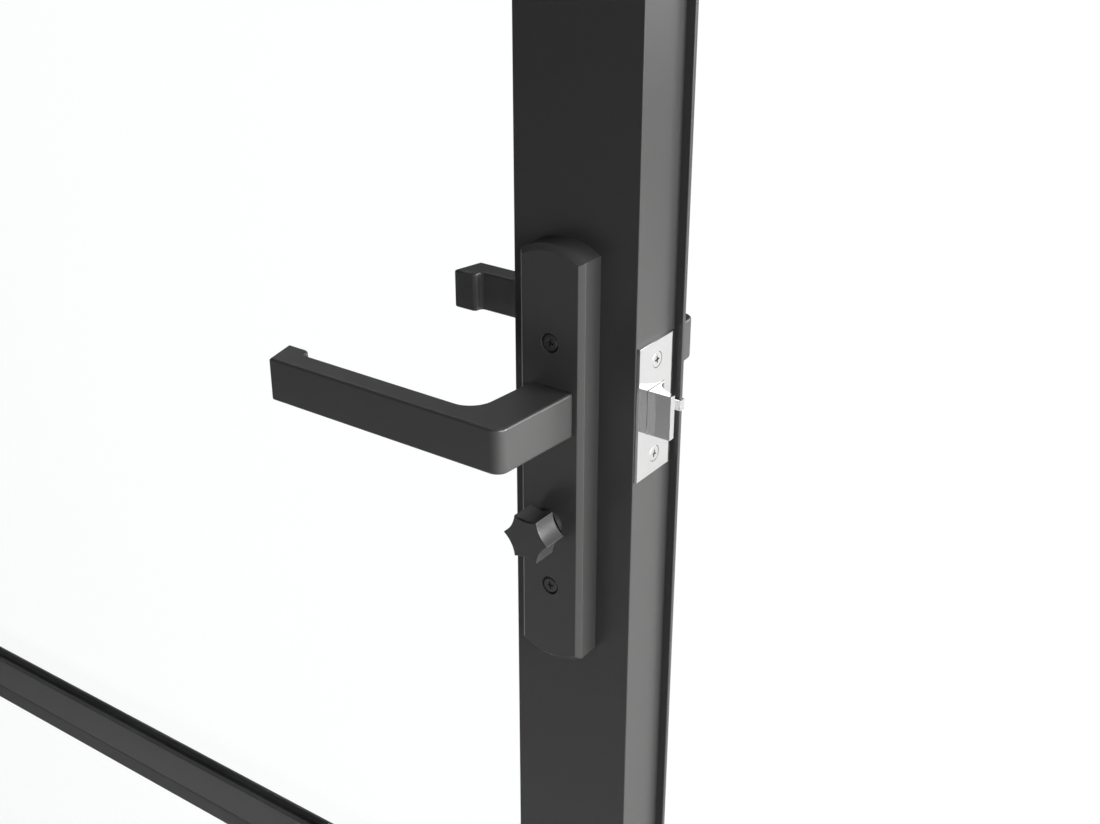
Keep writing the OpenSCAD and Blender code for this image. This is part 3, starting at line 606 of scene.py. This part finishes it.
def soft_skin(name, tone, ior, bloom, roughness, grain_scale, strength, depth):
    """Matte skin of rubber or plastic with a faint bloom."""
    material, graph, shader = start_material(name, IOR=ior)
    skin = group_node(graph, "rubber_bloom", {
        "Color": opaque(tone), "Bloom": opaque([bloom * c for c in tone]),
        "Roughness": roughness, "Grain Scale": grain_scale})
    feed(graph, shader, Base_Color=skin.outputs["Color"], Roughness=skin.outputs["Roughness"],
         Normal=raised(graph, skin.outputs["Height"], strength, depth))
    return material


def soft_rubber(name, tone):
    """Extruded rubber."""
    return soft_skin(name, tone, ior=1.5, bloom=2.2, roughness=0.62, grain_scale=2400.0,
                     strength=0.3, depth=0.03 * MM)


def moulded_nylon(name, tone):
    """Moulded nylon, a little waxy."""
    return soft_skin(name, tone, ior=1.53, bloom=0.88, roughness=0.42, grain_scale=900.0,
                     strength=0.15, depth=0.02 * MM)


# real glass has about 1.5, which makes the panes reflect more than these should
PANE_IOR = 1.16


def clear_glass(name, tone):
    """Glass with weak reflections, clear to the light of the lamps, with faint wiping marks."""
    material, graph, shader = start_material(
        name, Transmission_Weight=1.0, IOR=PANE_IOR, Base_Color=opaque(tone))
    place = graph.position()
    arcs = graph.noise(place, 5.0, 6.0, 0.6)
    feed(graph, shader, Roughness=graph.spread(arcs, 0.5, 0.85, 0.0, 0.03))
    path = graph.add("ShaderNodeLightPath")
    passing = graph.add("ShaderNodeBsdfTransparent", {"Color": opaque([0.95, 0.965, 0.96])})
    graph.show_mix("Material Output", path.outputs["Is Shadow Ray"], shader, passing)
    return material


def finish(slot):
    """The material of one of the record's slots, built the first time it is asked for."""
    name = slot + "_finish"
    if name in bpy.data.materials:
        return bpy.data.materials[name]
    tones = bpy.context.scene.door_colours
    # the numbers of a powder coat are its roughness, the scale of its peel and the strength of the
    # painted highlight on its edges
    makers = {
        "leaf_paint": lambda: powder_coat(name, tones.paint, 0.36, 750.0, 0.35),
        "frame_paint": lambda: powder_coat(name, tones.paint, 0.4, 750.0, 0.3),
        "threshold_metal": lambda: powder_coat(name, tones.paint, 0.48, 600.0, 0.8),
        "hardware_paint": lambda: powder_coat(name, tones.hardware, 0.33, 1100.0, 0.35),
        "screw_black": lambda: black_oxide(name, tones.oxide),
        "latch_steel": lambda: polished_steel(name, tones.steel),
        "zinc_steel": lambda: zinc_plate(name, tones.zinc),
        "black_rubber": lambda: soft_rubber(name, tones.rubber),
        "nylon": lambda: moulded_nylon(name, tones.nylon),
        "clear_glass": lambda: clear_glass(name, tones.glass),
    }
    return makers[slot]()


# ---- pieces --------------------------------------------------------------------------------


def leaf_thickness():
    """Thickness of the leaf over its stiles."""
    return shut_box("lock_stile")[1].y


def other_face():
    """Matrix that mirrors a piece from the leaf's front face to its rear face."""
    return Matrix.Translation((0, leaf_thickness(), 0)) @ Matrix.Diagonal((1, -1, 1, 1))


def axis_of(node):
    """Middle of a bar that runs through the leaf, on the leaf's front face."""
    low, high = shut_box(node)
    return Vector(((low.x + high.x) / 2, 0, (low.z + high.z) / 2))


def lever_axis():
    """Where the levers turn."""
    return axis_of("spindle")


def turn_axis():
    """Where the star-shaped turn turns."""
    return axis_of("turn_bar")


class PieceOperator:
    """What the operators of the door share."""

    bl_options = {"REGISTER", "UNDO"}

    def execute(self, context):
        self.make(context.scene.door_sizes)
        return {"FINISHED"}

    def round_profiles(self, slot, width, *nodes):
        """Shows extruded profiles with their long edges rounded."""
        for node in nodes:
            obj = merged_copy(node, node + "_profile")
            round_outer_edges(obj, width, shortest=12 * MM)
            settle(obj, slot, node)


class DOOR_OT_frame(PieceOperator, bpy.types.Operator):
    """Jambs, head and threshold of the outer frame, with softened edges"""

    bl_idname = "glass_door.frame"
    bl_label = "Outer Frame"

    def make(self, sizes):
        width = sizes.profile_edge
        self.round_profiles("frame_paint", width, "hinge_jamb", "lock_jamb", "head")
        self.round_profiles("threshold_metal", width, "threshold")


class DOOR_OT_hinges(PieceOperator, bpy.types.Operator):
    """Hinge leaves with softened edges, and turned pins with round caps"""

    bl_idname = "glass_door.hinges"
    bl_label = "Hinges"

    def make(self, sizes):
        for place in ("lower", "middle", "upper"):
            for half in ("frame", "door"):
                node = f"{place}_hinge_{half}_leaf"
                obj = merged_copy(node, f"{place}_hinge_{half}_half")
                round_outer_edges(obj, sizes.hinge_edge, shortest=2 * MM)
                settle(obj, "hardware_paint", node)
            self.make_pin(place)

    def make_pin(self, place):
        """Turned pin: a cap, the shank and the other cap, drawn out of one disc."""
        node = f"{place}_hinge_pin"
        low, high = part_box(node)
        cap, shank, thick, rounding = (high.x - low.x) / 2, 3 * MM, 2.5 * MM, 1.1 * MM
        foot = Vector(((low.x + high.x) / 2, (low.y + high.y) / 2, low.z))
        obj = start_rod(f"{place}_hinge_spindle", cap, foot, foot + Vector((0, 0, thick)))
        pick(obj, "FACE", lambda face: face.normal.z > 0.9)
        bpy.ops.mesh.inset(thickness=cap - shank)
        extrude((0, 0, high.z - low.z - 2 * thick))
        extrude((0, 0, 0))
        bpy.ops.transform.resize(value=(cap / shank, cap / shank, 1))
        extrude((0, 0, thick))
        ends = (low.z, high.z)
        pick(obj, "EDGE", lambda edge: all(
            min(abs(v.co.z - z) for z in ends) < 0.1 * MM
            and (v.co.xy - foot.xy).length > cap - 0.2 * MM for v in edge.verts))
        bevel(rounding, 4)
        settle(obj, "zinc_steel", node)


class DOOR_OT_leaf_profiles(PieceOperator, bpy.types.Operator):
    """Stiles, rails and glazing bar of the leaf, with softened edges"""

    bl_idname = "glass_door.leaf_profiles"
    bl_label = "Leaf Profiles"

    def make(self, sizes):
        self.round_profiles("leaf_paint", sizes.profile_edge, "lock_stile", "hinge_stile",
                            "top_rail", "bottom_rail", "glazing_bar")


class DOOR_OT_glazing(PieceOperator, bpy.types.Operator):
    """Two panes with arrised edges"""

    bl_idname = "glass_door.glazing"
    bl_label = "Glazing"

    def make(self, sizes):
        for place in ("upper", "lower"):
            obj = merged_copy(f"{place}_glass", f"{place}_pane")
            round_outer_edges(obj, sizes.glass_arris, shortest=2 * MM, steps=1)
            settle(obj, "clear_glass", f"{place}_glass", smooth=20)


class DOOR_OT_handle_plates(PieceOperator, bpy.types.Operator):
    """Handle plates with arched ends, chamfered faces and counterbored screw holes"""

    bl_idname = "glass_door.handle_plates"
    bl_label = "Handle Plates"

    def make(self, sizes):
        low, high = shut_box("inside_plate")
        obj = draw_out("inside_escutcheon", self.outline(sizes, low, high),
                       (0, low.y - high.y, 0))
        self.shape(obj, sizes, low)
        outside = place_copy(obj, "outside_escutcheon", other_face())
        lever_hole, turn_hole, cylinder_hole = 9.9 * MM, 6.05 * MM, 8.55 * MM
        screw_head_hole, seat_depth, screw_hole = 4.1 * MM, 1.3 * MM, 2.1 * MM
        drill(obj, lever_axis(), lever_hole, low.y - MM, MM)
        drill(obj, turn_axis(), turn_hole, low.y - MM, MM)
        for place in plate_screw_places():
            drill(obj, place, screw_head_hole, low.y - MM, low.y + seat_depth)
            drill(obj, place, screw_hole, low.y - MM, MM)
        settle(obj, "hardware_paint", "inside_plate", shut=True)
        start, rear = leaf_thickness() - MM, 2 * leaf_thickness() - low.y
        drill(outside, lever_axis(), lever_hole, start, rear)
        drill(outside, turn_axis(), cylinder_hole, start, rear)
        settle(outside, "hardware_paint", "outside_plate", shut=True)

    def outline(self, sizes, low, high):
        """Corners of a plate's outline on the leaf's face: two sides and two arched ends."""
        half, rise = (high.x - low.x) / 2, sizes.plate_arch
        radius = (half ** 2 + rise ** 2) / (2 * rise)
        lean, steps = math.asin(half / radius), 16
        middle = (low.x + high.x) / 2
        corners = []
        for side, end in ((1, high.z), (-1, low.z)):
            for i in range(steps + 1):
                angle = side * lean * (1 - 2 * i / steps)
                corners.append((middle + radius * math.sin(angle), high.y,
                                end - side * radius * (1 - math.cos(angle))))
        return corners

    def shape(self, obj, sizes, low):
        """Chamfers the front face and softens the edges that the chamfer leaves."""
        pick_rim(obj, low.y)
        bevel(sizes.plate_chamfer, 1)
        pick(obj, "EDGE", lambda edge: is_outer_edge(edge, 0.2 * MM, 20)
             and min(v.co.y for v in edge.verts) < low.y + 3 * MM)
        bevel(sizes.plate_edge, 2)


def lies_at(edge, y):
    """Whether an edge lies in one plane across Y."""
    return all(abs(v.co.y - y) < 0.01 * MM for v in edge.verts)


def pick_rim(obj, y):
    """Selects the edges that lie in one plane across Y."""
    pick(obj, "EDGE", lambda edge: lies_at(edge, y))


def drill(obj, place, radius, start, end):
    """Round hole along Y through a place on the leaf."""
    cutter = start_rod("drill", radius, (place.x, start, place.z), (place.x, end, place.z), 64)
    carve(obj, cutter)


def plate_screw_places():
    """Where the two screws of the handle plates go."""
    low, high = shut_box("plate_screws")
    middle, radius = (low.x + high.x) / 2, (high.x - low.x) / 2
    return [Vector((middle, low.y, z)) for z in (low.z + radius, high.z - radius)]


def start_screw(name, radius, height, dome, reach):
    """Screw on the origin with its head towards -Y, its cross recess and its shank."""
    shank, cross_cut = 1.9 * MM, 2.1 * MM
    obj = start_rod(name, radius, (0, height, 0), (0, 0, 0))
    pick_rim(obj, 0)
    bevel(dome, 4)
    pick(obj, "FACE", lambda face: face.normal.y > 0.9)
    bpy.ops.mesh.inset(thickness=radius - shank)
    extrude((0, reach, 0))
    bpy.ops.transform.resize(value=(0.8, 1, 0.8))
    arm, web = 0.55 * radius, 0.13 * radius
    cross = [(arm, web), (web, web), (web, arm), (-web, arm), (-web, web), (-arm, web),
             (-arm, -web), (-web, -web), (-web, -arm), (web, -arm), (web, -web), (arm, -web)]
    cutter = draw_outline("cross", [(x, -MM, z) for x, z in cross])
    extrude((0, cross_cut, 0))
    bpy.ops.transform.resize(value=(0.7, 1, 0.7), center_override=(0, 0, 0))
    turn_outwards()
    carve(obj, cutter)
    return obj


class DOOR_OT_plate_screws(PieceOperator, bpy.types.Operator):
    """Pan-head screws that hold the two handle plates together"""

    bl_idname = "glass_door.plate_screws"
    bl_label = "Plate Screws"

    def make(self, sizes):
        low, high = shut_box("plate_screws")
        pattern = start_screw("screw_pattern", sizes.pan_head, height=1.5 * MM, dome=0.9 * MM,
                              reach=high.y - low.y - 2 * MM)
        for place, name, turn in zip(plate_screw_places(), ("lower", "upper"), (-8, 12)):
            matrix = (Matrix.Translation(place + Vector((0, 0.5 * MM, 0)))
                      @ Matrix.Rotation(math.radians(turn), 4, "Y"))
            obj = place_copy(pattern, f"{name}_plate_screw", matrix)
            settle(obj, "screw_black", "plate_screws", shut=True)
        bpy.data.objects.remove(pattern)


class DOOR_OT_levers(PieceOperator, bpy.types.Operator):
    """Lever handles with a leaning neck, rounded corners and a hooked tip"""

    bl_idname = "glass_door.levers"
    bl_label = "Levers"

    def make(self, sizes):
        low, high = shut_box("inside_lever")
        axis = lever_axis()
        gap, nose_share, heel_share = 0.3 * MM, 0.58, 0.38
        front, root, tip = low.y, shut_box("inside_plate")[0].y - gap, low.x
        back = front + sizes.grip
        hook = back + sizes.hook_rise
        lean = sizes.neck_lean
        heel = tip + sizes.hook_long
        corners = [
            (axis.x + sizes.neck_right, root), (axis.x + sizes.neck_right - lean, front),
            (tip + sizes.tip_lean, front), (tip, hook), (heel, hook), (heel, back),
            (axis.x - sizes.neck_left - lean, back), (axis.x - sizes.neck_left, root)]
        bottom = low.z
        obj = draw_out("inside_lever_handle", [(x, y, bottom) for x, y in corners],
                       (0, 0, high.z - low.z))
        for index, radius, steps in ((1, sizes.outer_corner, 10), (6, sizes.inner_corner, 12),
                                     (4, nose_share * sizes.hook_rise, 6),
                                     (5, heel_share * sizes.hook_rise, 6)):
            x, y = corners[index]
            pick(obj, "EDGE", lambda edge: all(
                (v.co.xy - Vector((x, y))).length < 0.05 * MM for v in edge.verts))
            bevel(radius, steps)
        self.soften(obj, sizes, root)
        journal = start_rod("journal", 8 * MM, (axis.x, root + 0.5 * MM, axis.z),
                            (axis.x, high.y, axis.z), 64)
        drop = start_rod("drop", 7.9 * MM, (axis.x, root - MM, axis.z),
                         (axis.x, root + MM, axis.z), 64)
        carve(journal, drop, "UNION")
        carve(obj, journal, "UNION")
        outside = place_copy(obj, "outside_lever_handle", other_face())
        settle(obj, "hardware_paint", "inside_lever", shut=True)
        settle(outside, "hardware_paint", "outside_lever", shut=True)

    def soften(self, obj, sizes, root):
        """Rounds the lever's long edges, all but those against the plate."""
        pick(obj, "EDGE", lambda edge: is_outer_edge(edge, 0.05 * MM, 12)
             and abs(edge.verts[0].co.z - edge.verts[1].co.z) < 0.01 * MM
             and not lies_at(edge, root))
        round_selected(obj, sizes.grip_edge, 3)


class DOOR_OT_turn(PieceOperator, bpy.types.Operator):
    """Star-shaped turn with hollow sides on a round stem"""

    bl_idname = "glass_door.turn"
    bl_label = "Turn"

    def make(self, sizes):
        low, high = shut_box("turn_knob")
        axis = turn_axis()
        depth, stem_radius, point_edge = 11.2 * MM, 6 * MM, 0.3 * MM
        obj = draw_out("star_turn", [(axis.x + x, low.y + depth, axis.z + z)
                                     for x, z in star_corners(sizes)], (0, -depth, 0))
        stem = start_rod("stem", stem_radius, (axis.x, low.y + depth - MM, axis.z),
                         (axis.x, high.y, axis.z))
        carve(obj, stem, "UNION")
        edit(obj)
        pick(obj, "EDGE", lambda edge: is_outer_edge(edge, 5 * MM)
             and (edge.verts[0].co.xz - axis.xz).length > 10 * MM)
        bevel(point_edge, 2)
        for y in (low.y, low.y + depth):
            pick(obj, "EDGE", lambda edge: lies_at(edge, y) and all(
                (v.co.xz - axis.xz).length > 7 * MM for v in edge.verts))
            bevel(sizes.star_edge, 3)
        settle(obj, "hardware_paint", "turn_knob", shut=True)


def star_corners(sizes):
    """Corners round a six-pointed star whose sides are hollow arcs."""
    middle = sizes.star_point * math.cos(math.radians(30))
    rise, half = middle - sizes.star_hollow, sizes.star_point / 2
    bow = (half ** 2 + rise ** 2) / (2 * rise)
    spread, steps = math.asin(half / bow), 8
    corners = []
    for side in range(6):
        facing = math.radians(30 + 60 * side)
        for i in range(steps):
            angle = spread * (2 * i / steps - 1)
            out = sizes.star_hollow + bow * (1 - math.cos(angle))
            across = bow * math.sin(angle)
            corners.append((out * math.cos(facing) - across * math.sin(facing),
                            out * math.sin(facing) + across * math.cos(facing)))
    return corners


class DOOR_OT_latch(PieceOperator, bpy.types.Operator):
    """Latch faceplate with its windows, its screws, the bolt and the plunger"""

    bl_idname = "glass_door.latch"
    bl_label = "Latch"

    def make(self, sizes):
        self.make_faceplate(sizes)
        self.make_screws(sizes)
        for node, name in (("latch_bolt", "bolt"), ("deadlatch_plunger", "plunger")):
            obj = merged_copy(node, "polished_" + name)
            round_outer_edges(obj, sizes.steel_edge, shortest=2 * MM)
            settle(obj, "latch_steel", node, smooth=40)

    def make_faceplate(self, sizes):
        low, high = shut_box("latch_faceplate")
        obj = start_block("latch_front", low, high)
        past, room, bolt_half, screw_hole = 2 * MM, 0.15 * MM, 9.3 * MM, 3.4 * MM
        for node in ("latch_bolt", "deadlatch_plunger"):
            inner, outer = shut_box(node)
            middle, half = (inner.z + outer.z) / 2, (outer.z - inner.z) / 2
            if node == "latch_bolt":
                middle, half = lever_axis().z, bolt_half
            window = start_block("window", (low.x - past, inner.y - room, middle - half - room),
                                 (high.x + past, outer.y + room, middle + half + room))
            carve(obj, window)
        for place in faceplate_screw_places():
            hole = start_rod("hole", screw_hole, (low.x - past, place.y, place.z),
                             (high.x + past, place.y, place.z), 64)
            carve(obj, hole)
        round_outer_edges(obj, sizes.steel_edge, shortest=4 * MM)
        settle(obj, "latch_steel", "latch_faceplate", shut=True)

    def make_screws(self, sizes):
        pattern = start_screw("screw_pattern", sizes.flat_head, height=1.3 * MM,
                              dome=0.12 * MM, reach=8 * MM)
        for place, name, turn in zip(faceplate_screw_places(), ("lower", "upper"), (14, -6)):
            matrix = (Matrix.Translation(place) @ Matrix.Rotation(math.radians(90), 4, "Z")
                      @ Matrix.Rotation(math.radians(turn), 4, "Y"))
            obj = place_copy(pattern, f"{name}_latch_screw", matrix)
            settle(obj, "latch_steel", "faceplate_screws", shut=True)
        bpy.data.objects.remove(pattern)


def faceplate_screw_places():
    """Where the faceplate's screws go, on its outer face."""
    low, high = shut_box("faceplate_screws")
    face = shut_box("latch_faceplate")[1].x
    radius = (high.y - low.y) / 2
    return [Vector((face - 0.05 * MM, (low.y + high.y) / 2, z))
            for z in (low.z + radius, high.z - radius)]


class DOOR_OT_strike(PieceOperator, bpy.types.Operator):
    """Strike plate with softened edges"""

    bl_idname = "glass_door.strike"
    bl_label = "Strike Plate"

    def make(self, sizes):
        obj = merged_copy("strike_plate", "strike_plate_pressed")
        round_outer_edges(obj, sizes.steel_edge, shortest=3 * MM)
        settle(obj, "latch_steel", "strike_plate")


class DOOR_OT_key_cylinder(PieceOperator, bpy.types.Operator):
    """Key cylinder on the outer face, with its plug"""

    bl_idname = "glass_door.key_cylinder"
    bl_label = "Key Cylinder"

    def make(self, sizes):
        for node, name, slot in (("key_cylinder", "cylinder_housing", "hardware_paint"),
                                 ("key_plug", "cylinder_plug", "zinc_steel")):
            obj = merged_copy(node, name)
            round_outer_edges(obj, width=0.2 * MM, shortest=0.45 * MM)
            settle(obj, slot, node, smooth=40)


KEPT_NODES = {
    "black_rubber": ("hinge_side_seal", "lock_side_seal", "head_seal", "upper_gasket",
                     "lower_gasket", "bottom_sweep"),
    "zinc_steel": ("frame_corner_keys", "threshold_screws", "hinge_frame_screws",
                   "hinge_door_screws", "leaf_corner_keys", "glazing_bar_screws",
                   "lever_springs", "latch_case", "hub_spring", "spindle", "latch_hub",
                   "turn_bar"),
    "latch_steel": ("strike_screws",),
    "screw_black": ("lever_grub_screws",),
    "nylon": ("lever_bushes",),
}


class DOOR_OT_kept_nodes(PieceOperator, bpy.types.Operator):
    """Finishes of the construction's own pieces that are shown as they are"""

    bl_idname = "glass_door.kept_nodes"
    bl_label = "Inner Works and Seals"

    def make(self, sizes):
        for slot, nodes in KEPT_NODES.items():
            for node in nodes:
                mesh = frame["nodes"][node].data
                mesh.materials.clear()
                mesh.materials.append(finish(slot))


# ---- stage ---------------------------------------------------------------------------------


def facing(direction):
    """Rotation that points a lamp or a camera along a direction."""
    return direction.to_track_quat("-Z", "Y").to_euler()


# name, bearing from the leaf's edge towards its rear face and height in degrees, power
LAMPS = (
    ("side_front", -20, 12, 165),
    ("side_behind", 20, 12, 230),
    ("rear_low", 60, 12, 68),
    ("rear_high", 150, 45, 10),
)
LAMP_DISTANCE, LAMP_SIZE = 3.5, 2.2
# how strongly the backdrop lights the door, and how white the floor looks by itself
BACKDROP_LIGHT, FLOOR_GLOW = 0.12, 1.02
# place and direction of the camera as they are while the leaf is shut, and its lens
CAMERA_PLACE, CAMERA_AHEAD = (0.7006, -0.4427, 1.2527), (-0.5231, 0.7341, -0.4330)
CAMERA_LENS = 49.21


def seen_directly(graph):
    """One for rays that reach the stage straight from the camera or only through glass."""
    path = graph.add("ShaderNodeLightPath")
    bounces = graph.math("ADD", path.outputs["Diffuse Depth"], path.outputs["Glossy Depth"])
    through = graph.math("MULTIPLY", path.outputs["Is Transmission Ray"],
                         graph.math("LESS_THAN", bounces, 0.5))
    return graph.math("MAXIMUM", path.outputs["Is Camera Ray"], through)


class DOOR_OT_stage(bpy.types.Operator):
    """Pale floor, soft lamps and the camera"""

    bl_idname = "glass_door.stage"
    bl_label = "Studio Stage"
    bl_options = {"REGISTER", "UNDO"}

    def execute(self, context):
        self.make_floor(context.scene.door_colours)
        for lamp in LAMPS:
            self.make_lamp(*lamp)
        self.make_camera(context.scene)
        context.scene.world = self.make_world()
        context.scene.view_settings.view_transform = "Standard"
        return {"FINISHED"}

    def make_world(self):
        """White backdrop that lights the door only faintly."""
        world = bpy.data.worlds.new("studio")
        world.use_nodes = True
        graph = Graph(world.node_tree)
        dim = world.node_tree.nodes["Background"]
        graph.plug(dim, {"Color": (1, 1, 1, 1), "Strength": BACKDROP_LIGHT})
        white = graph.add("ShaderNodeBackground", {"Color": (1, 1, 1, 1), "Strength": 1.0})
        graph.show_mix("World Output", seen_directly(graph), dim, white)
        return world

    def make_floor(self, tones):
        """Pale floor that looks white by itself and lights the door less."""
        clear_selection()
        bpy.ops.mesh.primitive_plane_add(size=60, location=(0, 0, 0))
        floor = begin("studio_floor")
        clear_selection()
        material, graph, shader = start_material("studio_floor", Roughness=0.9,
                                                 Base_Color=opaque(tones.floor))
        seen = graph.add("ShaderNodeEmission", {"Color": (1, 1, 1, 1), "Strength": FLOOR_GLOW})
        graph.show_mix("Material Output", seen_directly(graph), shader, seen)
        floor.data.materials.append(material)

    def make_lamp(self, name, bearing, height, power):
        """Round soft lamp that points at the levers."""
        turn = Matrix.Rotation(math.radians(bearing), 3, "Z")
        away = turn @ Vector((math.cos(math.radians(height)), 0, math.sin(math.radians(height))))
        aim = lever_axis()
        place = LEAF @ (aim + LAMP_DISTANCE * away)
        clear_selection()
        bpy.ops.object.light_add(type="AREA", location=place,
                                 rotation=facing(-(LEAF.to_3x3() @ away)))
        lamp = bpy.context.object
        lamp.name = name
        lamp.data.energy, lamp.data.size, lamp.data.shape = power, LAMP_SIZE, "DISK"

    def make_camera(self, scene):
        """Camera that looks down at the levers from beside the lock edge."""
        ahead, place = Vector(CAMERA_AHEAD).normalized(), Vector(CAMERA_PLACE)
        clear_selection()
        bpy.ops.object.camera_add(location=LEAF @ place,
                                  rotation=facing(LEAF.to_3x3() @ ahead))
        camera = bpy.context.object
        camera.name = "studio_camera"
        camera.data.lens, camera.data.sensor_width = CAMERA_LENS, 36
        camera.data.clip_start, camera.data.clip_end = 0.02, 100
        scene.camera = camera


# ---- add-on --------------------------------------------------------------------------------

OPERATORS = (
    DOOR_OT_frame, DOOR_OT_hinges, DOOR_OT_leaf_profiles, DOOR_OT_glazing,
    DOOR_OT_handle_plates, DOOR_OT_plate_screws, DOOR_OT_levers, DOOR_OT_turn, DOOR_OT_latch,
    DOOR_OT_strike, DOOR_OT_key_cylinder, DOOR_OT_kept_nodes, DOOR_OT_stage)


class DOOR_PT_pieces(bpy.types.Panel):
    """Buttons and sizes of the glass door"""

    bl_idname = "DOOR_PT_pieces"
    bl_label = "Glass Door"
    bl_space_type = "VIEW_3D"
    bl_region_type = "UI"
    bl_category = "Glass Door"

    def draw(self, context):
        for operator in OPERATORS:
            self.layout.operator(operator.bl_idname)
        for group in (context.scene.door_sizes, context.scene.door_colours):
            box = self.layout.box()
            for name in group.__annotations__:
                box.prop(group, name)


CLASSES = (DoorSizes, DoorColours, *OPERATORS, DOOR_PT_pieces)


def register():
    """Adds the classes and their settings to Blender."""
    for cls in CLASSES:
        bpy.utils.register_class(cls)
    bpy.types.Scene.door_sizes = PointerProperty(type=DoorSizes)
    bpy.types.Scene.door_colours = PointerProperty(type=DoorColours)


def unregister():
    """Takes them away again."""
    del bpy.types.Scene.door_sizes
    del bpy.types.Scene.door_colours
    for cls in reversed(CLASSES):
        bpy.utils.unregister_class(cls)


def main():
    """Registers the add-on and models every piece."""
    register()
    for operator in OPERATORS:
        group, name = operator.bl_idname.split(".")
        getattr(getattr(bpy.ops, group), name)()
    clear_selection()


if __name__ == "__main__":
    main()
